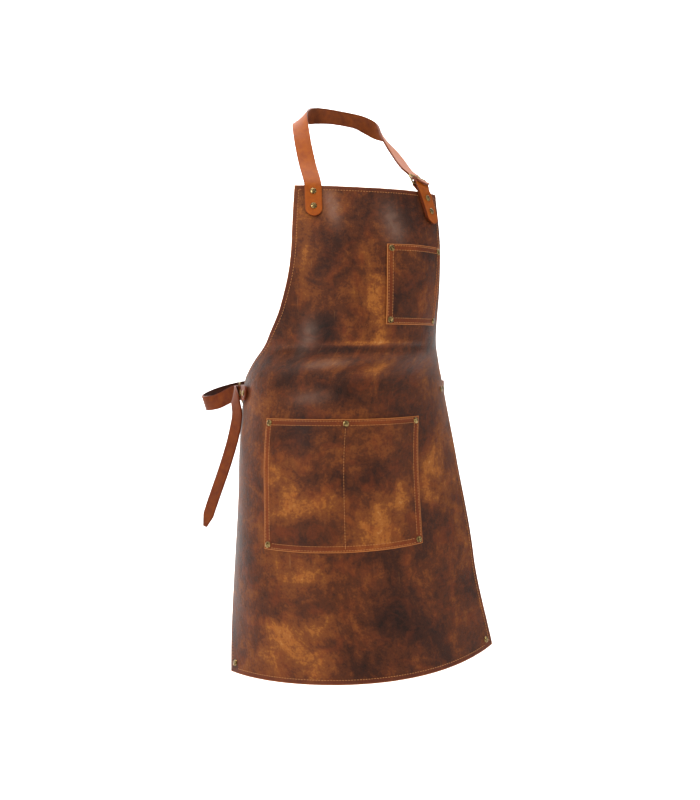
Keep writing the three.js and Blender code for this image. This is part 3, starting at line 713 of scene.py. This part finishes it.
# %% Aged brass
def aged_brass():
    material, tree, shader = new_material("antiqued_brass")
    here = add(tree, "ShaderNodeTexCoord").outputs["Object"]
    spots = noise(tree, here, 2.5, 5, 0.65)
    worn = ranged(tree, spots, 0.4, 0.66)
    colour = mixed(tree, worn, "#33240f", "#c2a46c")
    lift = calculate(tree, "MULTIPLY", spots, 0.00012)
    surface(tree, shader, colour, ranged(tree, worn, start=0.42, end=0.2), lift, 0.5)
    shader.inputs["Metallic"].default_value = 1.0
    return material


brass = aged_brass()


# %% [markdown]
# ## Modelling a buckle frame
# A plane's four corners are bevelled round and its face is deleted, which leaves the frame's middle
# line. That line becomes a curve with a round section, and the curve becomes a mesh again.

# %% Buckle frames
def buckle_frame(name, axes):
    deselect()
    bpy.ops.mesh.primitive_plane_add(size=1, location=(0, PITCH / 2 * MM, 0))
    piece = bpy.context.active_object
    piece.name = name
    width = axes["width"] + 2 * WINDOW_PLAY + BAR
    piece.scale = (width * MM, PITCH * MM, 1)
    apply_place()
    mode("EDIT")
    bpy.ops.mesh.select_all(action="SELECT")
    bpy.ops.mesh.bevel(affect="VERTICES", offset=FRAME_CORNER * MM, segments=5)
    bpy.ops.mesh.delete(type="ONLY_FACE")
    mode("OBJECT")
    bpy.ops.object.convert(target="CURVE")
    piece.data.bevel_depth = BAR / 2 * MM
    piece.data.bevel_resolution = 3
    bpy.ops.object.convert(target="MESH")
    bpy.ops.object.shade_smooth()
    to_buckle(piece, axes)
    piece.data.materials.append(brass)
    return piece


for end, axes in (("neck", neck_axes), ("waist", waist_axes)):
    settle(buckle_frame(f"{end}_buckle_bar_frame", axes), "aged_brass", f"{end}_buckle_frame")

# %% [markdown]
# ## Prongs
# The prong's solid has the right path, but few sides. A copy of it has its loose corners merged and
# is rounded by a subdivision surface.

# %% Prongs
def prong(name, node):
    deselect()
    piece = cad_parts[node].copy()
    piece.data = piece.data.copy()
    piece.name = name
    bpy.context.collection.objects.link(piece)
    piece.select_set(True)
    bpy.context.view_layer.objects.active = piece
    mode("EDIT")
    bpy.ops.mesh.select_all(action="SELECT")
    bpy.ops.mesh.remove_doubles(threshold=0.02 * MM)
    bpy.ops.mesh.normals_make_consistent(inside=False)
    mode("OBJECT")
    smooth = piece.modifiers.new("smooth", "SUBSURF")
    smooth.levels = smooth.render_levels = 2
    bpy.ops.object.modifier_apply(modifier="smooth")
    bpy.ops.object.shade_smooth()
    piece.data.materials.clear()
    piece.data.materials.append(brass)
    settle(piece, "aged_brass", node)


for end in ("neck", "waist"):
    prong(f"{end}_buckle_wire_prong", f"{end}_buckle_prong")

# %% [markdown]
# ## Straps and tabs
# A strap is a long band. Its middle line is a smooth curve through a few stops, each with the
# direction that its width lies in, so it can twist. The stops are those of the frame's solids. Many
# of the neck strap's places come from another program as well, rounded, with changes.

# %% Ways of the straps
# Shares across, back and up, then x, y and z of the direction that the width lies in
NECK_WAY = [
    (-0.52, -0.81, -0.705, 0.97, -0.22, 0.03),
    (-0.525, -0.63, -0.38, 0.95, -0.25, 0.18),
    (-0.5, -0.45, -0.145, 0.76, -0.1, 0.64),
    (-0.395, -0.24, -0.05, 0.55, 0.1, 0.82),
    (-0.195, -0.06, 0.01, 0.15, 0.3, 0.94),
    (0, 0, 0, 0, 0.3, 0.95),
    (0.1, -0.012, -0.028, -0.1, 0.3, 0.94),
    (0.175, -0.055, -0.085, -0.1, 0.1, 0.95),
    (0.225, -0.125, -0.15, -0.2, 0, 0.95),
    (0.255, -0.225, -0.215, -0.5, 0.05, 0.85),
    (0.275, -0.36, -0.345, -0.73, 0.02, 0.66),
    (0.32, -0.54, -0.55, -0.87, -0.05, 0.46),
    (0.35, -0.71, -0.72, -0.91, -0.2, 0.36),
]
# Shares across and back, the drop in strap widths, and how far the width leans
WAIST_WAY = [
    (0.86, 0.15, 0, 0),
    (0.85, 0.34, 0, 0),
    (0.74, 0.6, 0, 0),
    (0.48, 0.81, 0, 0),
    (0.14, 0.93, 0, 0),
    (-0.22, 0.965, 0, 0),
    (-0.53, 0.93, -0.05, 0),
    (-0.79, 0.85, 0.1, 0.1),
    (-1.02, 0.78, 0.5, 0.25),
    (-1.17, 0.67, 0.9, 0.35),
    (-1.21, 0.57, 1.1, 0.3),
    (-1.13, 0.47, 1, 0.1),
]
# In strap thicknesses: past the outer bar, out of the front, and low along the bar
BAR_WRAP = [(3.7, 8, 1.7), (3, 3.4, 0), (2, 1.3, 0), (1.6, -0.5, 0), (0.95, -1.35, 0)]
# Shares of the loose end out, forward and down, then the direction of its width
TAIL_WAY = [
    (0.062, 0.055, 0.01, -0.1, 0.3, -0.95),
    (0.066, 0.11, 0.055, -0.3, 0.8, -0.5),
    (0.06, 0.15, 0.15, -0.45, 0.89, -0.05),
]
TAIL_HANG = [
    (0.08, 0.145, 0.29),
    (0.115, 0.13, 0.43),
    (0.153, 0.11, 0.56),
    (0.195, 0.09, 0.69),
    (0.237, 0.072, 0.82),
    (0.262, 0.068, 0.9),
    (0.278, 0.064, 0.955),
]
TAIL_WAY += [row + (-0.53, 0.85, 0) for row in TAIL_HANG]
FOLD = BAR * 0.71 + 2.3 * METAL_GAP + TAB_THICKNESS / 2
UNDER_BAR = -(BAR / 2 + 2 * METAL_GAP + STRAP_THICKNESS / 2)
OVER_TAB = FOLD + TAB_THICKNESS / 2 + LAYER_GAP + STRAP_THICKNESS / 2 + 2 * METAL_GAP


def through_buckle(axes):
    """Stops inside the outer bar and over the inner bar with its tab."""
    stops = [(PITCH, UNDER_BAR), (PITCH * 0.7, UNDER_BAR * 0.5)]
    stops += [(PITCH * 0.38, OVER_TAB * 0.6), (0, OVER_TAB)]
    return [(at_buckle(axes, e, n), -axes["c"]) for e, n in stops]


def tab_stops(axes, leaf, turn, front_stops, back_stops):
    """Front leaf up to the bar, the fold turned to meet both leaves, and the back leaf on the hide."""
    back = LAYER_GAP + TAB_THICKNESS / 2
    front = back + LAYER_GAP + TAB_THICKNESS
    angles = np.radians(turn + np.array([104, 52, 0, -52, -104]))
    stops = [leaf(reach, front) for reach in front_stops]
    stops += [(at_buckle(axes, FOLD * math.cos(a), FOLD * math.sin(a)), axes["c"]) for a in angles]
    return stops + [leaf(reach, back) for reach in back_stops]


def neck_leaf(reach, off):
    s = neck_tab_line(reach)
    return on_hide(s, reach, off), hide_axes(s, reach)[0]


def waist_leaf(reach, off):
    s = reach - waist_edge
    return on_hide(s, WAIST_LEVEL, off), hide_axes(s, WAIST_LEVEL)[1]


# %% Smooth way through the stops
def smooth_way(stops, steps):
    """Centripetal curve through the stops, with that many steps between two of them."""
    points = np.array(stops, float)
    points = np.vstack([2 * points[0] - points[1], points, 2 * points[-1] - points[-2]])
    share = np.linspace(0, 1, steps, endpoint=False)[:, None]
    way = []
    for a, b, c, d in zip(points, points[1:], points[2:], points[3:]):
        ab, bc, cd = (max(np.linalg.norm(q - p), 1e-6) ** 0.5 for p, q in ((a, b), (b, c), (c, d)))
        start = ((b - a) / ab - (c - a) / (ab + bc) + (c - b) / bc) * bc
        end = ((c - b) / bc - (d - b) / (bc + cd) + (d - c) / cd) * bc
        cubic = 2 * b - 2 * c + start + end
        square = -3 * b + 3 * c - 2 * start - end
        way.append(b + start * share + square * share**2 + cubic * share**3)
    return np.vstack(way + [points[-2]])


def strap(name, node, stops, width, thickness, faces, first, last, spacing=3.0, squared=True):
    """Band through the stops; first and last say how its ends are cut: (kind, reach).

    A tab isn't squared to its way, so that it can run askew into its buckle.
    """
    fine = smooth_way([p for p, _ in stops], 12)
    turn = smooth_way([a for _, a in stops], 12)
    length = measures(fine)
    whole = length[-1]
    nose = (1 - np.cos(np.linspace(0, np.pi / 2, 9))) * width / 2
    body = np.linspace(width / 2, whole - width / 2, max(int((whole - width) / spacing), 4))
    marks = np.concatenate([nose[:-1], body, whole - nose[-2::-1]])
    middle = np.stack(along_line(marks, fine, length), -1)
    across = np.stack(along_line(marks, turn, length), -1)
    along = unit(np.gradient(middle, marks, axis=0))
    if squared:
        across = across - (across * along).sum(1, keepdims=True) * along
    across = unit(across)

    def trim(distance, kind, reach):
        if kind == "round":
            return np.sqrt(np.clip(1 - np.clip(1 - distance / reach, 0, 1) ** 2, 0.02, 1))
        return np.clip(0.3 + 0.7 * distance / reach, 0, 1)

    half = width / 2 * np.minimum(trim(marks, *first), trim(whole - marks, *last))

    def place(u, v):
        row = np.rint((v + 1) / 2 * (len(marks) - 1)).astype(int)
        points = middle[row] + across[row] * (u * half[row])[:, None]
        edge = np.minimum(half[row] * (1 - np.abs(u)), np.minimum(marks[row], whole - marks[row]))
        return points, np.stack([u * half[row], marks[row]], -1), dict(edge=edge)

    piece = leather_sheet(name, 8, len(marks) - 1, place, thickness, [*faces, bridle_edge], 0.0, 0.45)
    settle(piece, "strap_leather", node)
    print(name, "length", round(whole), "mm")


# %% Neck strap and its tab
strap_off = LAYER_GAP + STRAP_THICKNESS / 2
neck_stops = [
    (on_hide(-NECK_STRAP_OFFSET, t, strap_off), hide_axes(-NECK_STRAP_OFFSET, t)[0])
    for t in (NECK_OVERLAP, 46, 34, 22, 10, 0)
]
for across, back, up, x, y, z in NECK_WAY:
    point = np.array([across * NECK_SPREAD, back * NAPE_TO_CHEST + STRAP_THICKNESS / 2, up * NAPE_TO_BIB])
    neck_stops.append((point, unit(np.array([x, y, z]))))
neck_stops.append((at_buckle(neck_axes, PITCH + 9, 1.3 * UNDER_BAR), -neck_axes["c"]))
neck_stops += through_buckle(neck_axes)
neck_stops.append((at_buckle(neck_axes, -5, OVER_TAB + 1), -neck_axes["c"]))
ROUND_NECK = ("round", NECK_STRAP_WIDTH / 2)
# The second pair is darker, partly with painted shade, for the waist strap and its tab.
TAN, DARK_AND_SHADED = (bridle, bridle_flesh), (dark_and_shaded_bridle, dark_and_shaded_flesh)
strap("neck_strap_band", "neck_strap", neck_stops, NECK_STRAP_WIDTH, STRAP_THICKNESS, TAN,
      ROUND_NECK, ("round", NECK_STRAP_WIDTH / 3))
neck_tab_stops = tab_stops(neck_axes, neck_leaf, 30, [NECK_TAB_OVERLAP, 50, 35, 20, 7],
                           [0, 5, 20, 36, NECK_TAB_OVERLAP - 3])
strap("neck_tab_band", "neck_tab", neck_tab_stops, NECK_STRAP_WIDTH, TAB_THICKNESS, TAN,
      ROUND_NECK, ROUND_NECK, 1.2, False)

# %% Waist strap and its tab
waist_off = -HIDE_THICKNESS - LAYER_GAP - STRAP_THICKNESS / 2
belt_end = on_hide(waist_edge, WAIST_LEVEL, waist_off)
waist_stops = [
    (on_hide(waist_edge + reach, WAIST_LEVEL, waist_off), -hide_axes(waist_edge + reach, WAIST_LEVEL)[1])
    for reach in (-WAIST_OVERLAP, -33, -22, -11, 0)
]
for across, back, low, lean in WAIST_WAY:
    y, z = belt_end[1] + back * BELT_DEPTH, belt_end[2] - low * WAIST_STRAP_WIDTH
    waist_stops.append((np.array([across * BELT_HALF_WIDTH, y, z]), unit(np.array([lean, 0, -1.0]))))
for past, out, low in BAR_WRAP:
    e, n, c = np.array([past, out, -low]) * STRAP_THICKNESS
    waist_stops.append((at_buckle(waist_axes, PITCH + e, n, c), -waist_axes["c"]))
waist_stops += through_buckle(waist_axes)
for out, fore, down, x, y, z in TAIL_WAY:
    point = waist_axes["origin"] - np.array([out, fore, down]) * TAIL_LENGTH
    waist_stops.append((point, unit(np.array([x, y, z]))))
ROUND_WAIST = ("round", WAIST_STRAP_WIDTH / 2)
strap("waist_strap_band", "waist_strap", waist_stops, WAIST_STRAP_WIDTH, STRAP_THICKNESS, DARK_AND_SHADED,
      ROUND_WAIST, ("point", WAIST_STRAP_WIDTH * 0.8))
waist_tab_stops = tab_stops(waist_axes, waist_leaf, 0, [WAIST_TAB_LENGTH, 46, 32, 17, 5],
                            [0, 5, 18, 33, WAIST_TAB_LENGTH - 3])
strap("waist_tab_band", "waist_tab", waist_tab_stops, WAIST_STRAP_WIDTH, TAB_THICKNESS, DARK_AND_SHADED,
      ROUND_WAIST, ROUND_WAIST, 1.2, False)

# %% [markdown]
# ## Rivets
# Each rivet has a domed cap outside, a shank through the leather and a flat washer head inside. One
# is modelled from a cylinder: its top is inset and raised ring by ring into a dome, then it is copied
# to every place, turned to the hide's outward direction there.

# %% Rivet model
CAP_RADIUS = 5
CAP_HEIGHT = 1.7
SHANK_RADIUS = 2
RIVET_EDGE = 7
HEM_RIVET_EDGE = 15
SEAT_GAP = 0.6
FOOT_GAP = 1.1
FOOT_HEIGHT = 1.1
WASHER_RADIUS = 0.9 * CAP_RADIUS
CAP_SIDE = 0.3
DOME_RINGS = (0.93, 0.62, 0.38, 0.14)
WASHER_RINGS = (0.9,)


def button(radius, height, base, rings):
    """Round cap that stands on base, its face raised ring by ring; CAP_SIDE is its upright share."""
    deselect()
    bpy.ops.mesh.primitive_cylinder_add(vertices=32, radius=radius * MM, depth=height * MM * CAP_SIDE,
                                        location=(0, 0, (base + height * CAP_SIDE / 2) * MM))
    cap = bpy.context.active_object
    apply_place()
    mode("EDIT")
    bpy.ops.mesh.select_all(action="DESELECT")
    mode("OBJECT")
    for face in cap.data.polygons:
        face.select = face.normal.z > 0.9
    mode("EDIT")
    last = 1.0
    for ring in rings:
        rise = math.sqrt(1 - ring**2) - math.sqrt(1 - last**2)
        bpy.ops.mesh.extrude_region_move()
        bpy.ops.transform.resize(value=(ring / last, ring / last, 1))
        bpy.ops.transform.translate(value=(0, 0, rise * height * (1 - CAP_SIDE) * MM))
        last = ring
    mode("OBJECT")
    return cap


def rivet_model(outer, inner):
    """Rivet along +Z: the hide's front face is at 0, its layers reach from inner to outer."""
    seat, foot = outer + SEAT_GAP, inner - FOOT_GAP
    cap = button(CAP_RADIUS, CAP_HEIGHT, seat, DOME_RINGS)
    washer = button(WASHER_RADIUS, FOOT_HEIGHT, 0, WASHER_RINGS)
    washer.data.transform(Matrix.Translation((0, 0, foot * MM)) @ Matrix.Rotation(math.pi, 4, "X"))
    bpy.ops.mesh.primitive_cylinder_add(vertices=16, radius=SHANK_RADIUS * MM, depth=(seat - foot) * MM,
                                        location=(0, 0, (seat + foot) / 2 * MM))
    apply_place()
    cap.select_set(True)
    washer.select_set(True)
    bpy.context.view_layer.objects.active = cap
    bpy.ops.object.join()
    bpy.ops.object.shade_smooth_by_angle(angle=SHARP)
    mesh = cap.data
    mesh.materials.append(brass)
    bpy.data.objects.remove(cap)
    return mesh


# %% Rivet places
HIDE_INNER = -HIDE_THICKNESS
WALL_OUTER = LAYER_GAP + POCKET_THICKNESS
TAB_OUTER = 2 * (LAYER_GAP + TAB_THICKNESS)
NECK_OUTER = LAYER_GAP + STRAP_THICKNESS
STRAP_INNER = HIDE_INNER - LAYER_GAP - STRAP_THICKNESS
hem_corner = float(half_width(APRON_LENGTH)) - HEM_RIVET_EDGE
hem_row = APRON_LENGTH - HEM_RIVET_EDGE

rivet_places = [
    ("neck_strap_rivet_upper", -NECK_STRAP_OFFSET, 12, NECK_OUTER, HIDE_INNER),
    ("neck_strap_rivet_lower", -NECK_STRAP_OFFSET, 38, NECK_OUTER, HIDE_INNER),
    ("neck_tab_rivet_upper", neck_tab_line(13), 13, TAB_OUTER, HIDE_INNER),
    ("neck_tab_rivet_lower", neck_tab_line(36), 36, TAB_OUTER, HIDE_INNER),
    ("waist_tab_rivet_outer", 20 - waist_edge, WAIST_LEVEL, TAB_OUTER, HIDE_INNER),
    ("waist_tab_rivet_inner", 42 - waist_edge, WAIST_LEVEL, TAB_OUTER, HIDE_INNER),
    ("waist_strap_rivet_outer", waist_edge - 11, WAIST_LEVEL, 0, STRAP_INNER),
    ("waist_strap_rivet_inner", waist_edge - 33, WAIST_LEVEL, 0, STRAP_INNER),
    ("hem_rivet_right", -hem_corner, hem_row, 0, HIDE_INNER),
    ("hem_rivet_left", hem_corner, hem_row, 0, HIDE_INNER),
]
for name, pocket in (("chest_pocket", CHEST_POCKET), ("waist_pocket", WAIST_POCKET)):
    side = pocket["half"] - RIVET_EDGE
    rows = (("top", pocket["top"] + RIVET_EDGE), ("low", pocket["top"] + pocket["depth"] - RIVET_EDGE))
    for end, t in rows:
        for hand, sign in (("right", -1), ("left", 1)):
            s = pocket["middle"] + sign * side
            rivet_places.append((f"{name}_rivet_{end}_{hand}", s, t, WALL_OUTER, HIDE_INNER))
rivet_places.append(("waist_pocket_rivet_middle", WAIST_POCKET["middle"], WAIST_POCKET["top"] + RIVET_EDGE,
                     WALL_OUTER, HIDE_INNER))

models = {}
for node, s, t, outer, inner in rivet_places:
    if (outer, inner) not in models:
        models[outer, inner] = rivet_model(outer, inner)
    across, upward, out = hide_axes(s, t)
    turn = Matrix([[across[i], np.cross(out, across)[i], out[i]] for i in range(3)]).to_4x4()
    mesh = models[outer, inner].copy()
    mesh.transform(Matrix.Translation(Vector(on_hide(s, t) * MM)) @ turn)
    settle(put(f"{node}_cap", mesh), "aged_brass", node)

# %% [markdown]
# ## Stitching
# Waxed thread holds the border of the hide and the pockets: each stitch is a short rod that dips into
# its holes. One stitch of a few dozen faces is modelled from a sphere, and copied along each line.

# %% Waxed thread
def waxed_thread():
    material, tree, shader = new_material("waxed_linen_thread")
    here = add(tree, "ShaderNodeTexCoord").outputs["Object"]
    ply = noise(tree, here, 0.9, 3)
    lift = calculate(tree, "MULTIPLY", ply, 0.0001)
    surface(tree, shader, mixed(tree, ply, "#8f4d1c", "#c98440"), 0.6, lift, 0.6)
    return material


thread = waxed_thread()
STITCH_PITCH = 4.6
STITCH_LENGTH = 3.7
STITCH_WIDTH = 1.0
STITCH_RISE = 0.5
THREAD_LIFT = 0.05

deselect()
bpy.ops.mesh.primitive_uv_sphere_add(segments=6, ring_count=4, radius=0.5)
stitch = bpy.context.active_object
stitch_points = np.array([v.co[:] for v in stitch.data.vertices])
stitch_faces = [list(p.vertices) for p in stitch.data.polygons]
bpy.data.objects.remove(stitch)
stitch_points = stitch_points[:, (2, 0, 1)] * (STITCH_LENGTH, STITCH_WIDTH, 2 * STITCH_RISE)


def stitching(name, lines, off, bare):
    """Stitches along lines of pattern points; none where bare says that something covers the line."""
    points = []
    for line in lines:
        line = np.array(line, float)
        lengths = measures(line)
        count = int(lengths[-1] / STITCH_PITCH)
        marks = (np.arange(count) + 0.5) * lengths[-1] / count
        marks = marks[~bare(*along_line(marks, line, lengths))]
        s, t = along_line(marks, line, lengths)
        ahead, behind = along_line(marks + 1, line, lengths), along_line(marks - 1, line, lengths)
        middle = on_hide(s, t, off(s, t))
        along = unit(on_hide(*ahead, off(*ahead)) - on_hide(*behind, off(*behind)))
        side = unit(np.cross(hide_axes(s, t)[2], along))
        turned = np.stack([along, side, np.cross(along, side)], 1)
        points.append(middle[:, None] + stitch_points @ turned)
    points = np.concatenate(points)
    bases = range(0, points.size // 3, len(stitch_points))
    faces = [[i + base for i in face] for base in bases for face in stitch_faces]
    mesh = bpy.data.meshes.new(name)
    mesh.from_pydata((points.reshape(-1, 3) * MM).tolist(), [], faces)
    mesh.materials.append(thread)
    mesh.shade_smooth()
    piece = put(name, mesh)
    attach(piece, "root")
    print(name, len(points), "stitches")


# %% Border stitching of the hide
BORDER = 7.5


def under_strap(s, t):
    """True where a strap or tab lies over the border's line."""
    neck = (t < 60) & ((abs(s + NECK_STRAP_OFFSET) < 16) | (abs(s - neck_tab_line(t)) < 16))
    waist = (abs(t - WAIST_LEVEL) < 15) & (s < WAIST_TAB_LENGTH + 4 - waist_edge)
    corner = (t > hem_row - 6) & (abs(abs(s) - hem_corner) < 6)
    return neck | waist | corner


down_line = np.arange(BORDER, APRON_LENGTH - BORDER + 0.1, 2.0)
lean = (half_width(down_line + 1) - half_width(down_line - 1)) / 2
side_line = half_width(down_line) - BORDER * np.sqrt(1 + lean**2)
top_line = np.linspace(-side_line[0], side_line[0], 80)
hem_line = np.linspace(-side_line[-1], side_line[-1], 160)
border_lines = [
    pattern_line(top_line, BORDER),
    pattern_line(-side_line, down_line),
    pattern_line(side_line, down_line),
    pattern_line(hem_line, APRON_LENGTH - BORDER),
]
stitching("hide_border_stitching", border_lines, lambda s, t: np.full_like(s, THREAD_LIFT), under_strap)


# %% Pocket stitching
POCKET_ROWS = (3.0, 10.0)


def pocket_off(pocket):
    """Gives the height of the pocket's thread over the hide at a pattern point."""
    def off(s, t):
        u = (s - pocket["middle"]) / pocket["half"]
        low = pocket_low(pocket, u)
        return pocket_face(pocket, u, (low - t) / (low - pocket["top"])) + THREAD_LIFT
    return off


def pocket_lines(pocket):
    lines = []
    for inset in POCKET_ROWS:
        side = pocket["half"] - inset
        across = np.linspace(-side, side, 60)
        low = pocket_low(pocket, across / pocket["half"]) - inset
        down = np.linspace(pocket["top"] + inset, low[0], 60)
        for sign in (-1, 1):
            lines.append(pattern_line(pocket["middle"] + sign * side, down))
        lines.append(pattern_line(pocket["middle"] + across, pocket["top"] + inset))
        lines.append(pattern_line(pocket["middle"] + across, low))
    if pocket["lobes"] == 2:
        down = np.linspace(pocket["top"] + 2 * RIVET_EDGE, pocket["top"] + pocket["depth"] - 2, 60)
        lines.append(pattern_line(pocket["middle"], down))
    return lines


def near_rivet(s, t):
    """True under a rivet's cap."""
    return np.any([np.hypot(s - row[1], t - row[2]) < CAP_RADIUS + 1 for row in rivet_places], axis=0)


stitching("chest_pocket_stitching", pocket_lines(CHEST_POCKET), pocket_off(CHEST_POCKET), near_rivet)
stitching("waist_pocket_stitching", pocket_lines(WAIST_POCKET), pocket_off(WAIST_POCKET), near_rivet)

# %% [markdown]
# ## Floor, backdrop and light
# A pale paper sweep, curved from floor to wall, has no line behind the apron. Large soft lamps give
# broad highlights on the oiled hide, as a studio does: the main one front left, a weaker one right.

# %% Sweep
FLOOR_LEVEL = -1.12
WALL_DISTANCE = 2.6
WALL_HEIGHT = 5
SWEEP_WIDTH, SWEEP_DEPTH = 14, 12
SWEEP_RADIUS = 1.2

deselect()
bpy.ops.mesh.primitive_plane_add(size=1, location=(0, 0, FLOOR_LEVEL))
sweep = bpy.context.active_object
sweep.name = "paper_sweep"
sweep.scale = (SWEEP_WIDTH, SWEEP_DEPTH, 1)
apply_place()
sweep.data.transform(Matrix.Translation((0, WALL_DISTANCE - SWEEP_DEPTH / 2 - SWEEP_RADIUS, 0)))
mode("EDIT")
bpy.ops.mesh.select_mode(type="EDGE")
bpy.ops.mesh.select_all(action="DESELECT")
mode("OBJECT")
for edge in sweep.data.edges:
    edge.select = all(sweep.data.vertices[i].co.y > 0 for i in edge.vertices)
mode("EDIT")
bpy.ops.mesh.spin(steps=16, angle=-math.pi / 2, axis=(1, 0, 0),
                  center=(0, WALL_DISTANCE - SWEEP_RADIUS, FLOOR_LEVEL + SWEEP_RADIUS))
bpy.ops.mesh.extrude_region_move(TRANSFORM_OT_translate={"value": (0, 0, WALL_HEIGHT)})
mode("OBJECT")
bpy.ops.object.shade_smooth()

paper, _, paper_shader = new_material("pale_sweep_paper")
paper_shader.inputs["Base Color"].default_value = linear("#f4f3f1")
paper_shader.inputs["Roughness"].default_value = 0.9
sweep.data.materials.append(paper)

# %% Lamps
def soft_lamp(name, place, target, size, power, colour="#ffffff"):
    lamp = bpy.data.lights.new(name, "AREA")
    lamp.shape = "RECTANGLE"
    lamp.size, lamp.size_y = size
    lamp.energy = power
    lamp.color = linear(colour)[:3]
    holder = put(name, lamp)
    holder.location = place
    holder.rotation_euler = (Vector(target) - Vector(place)).to_track_quat("-Z", "Y").to_euler()


MIDDLE = (0, -0.1, -0.5)
soft_lamp("key", (-1.9, -2.3, 1.1), MIDDLE, (1.3, 2.0), 66)
soft_lamp("fill", (2.2, -1.6, 0.2), MIDDLE, (1.2, 2.2), 16)
soft_lamp("top", (0.1, -0.4, 2.1), MIDDLE, (2.0, 1.4), 26)
soft_lamp("back_wash", (0.0, 1.0, 1.9), (0, 2.6, -0.2), (4.0, 1.0), 240)

world = bpy.data.worlds.new("studio")
world.use_nodes = True
world.node_tree.nodes["Background"].inputs["Color"].default_value = linear("#f2f3f5")
world.node_tree.nodes["Background"].inputs["Strength"].default_value = 0.36
bpy.context.scene.world = world
bpy.context.scene.view_settings.view_transform = "Standard"
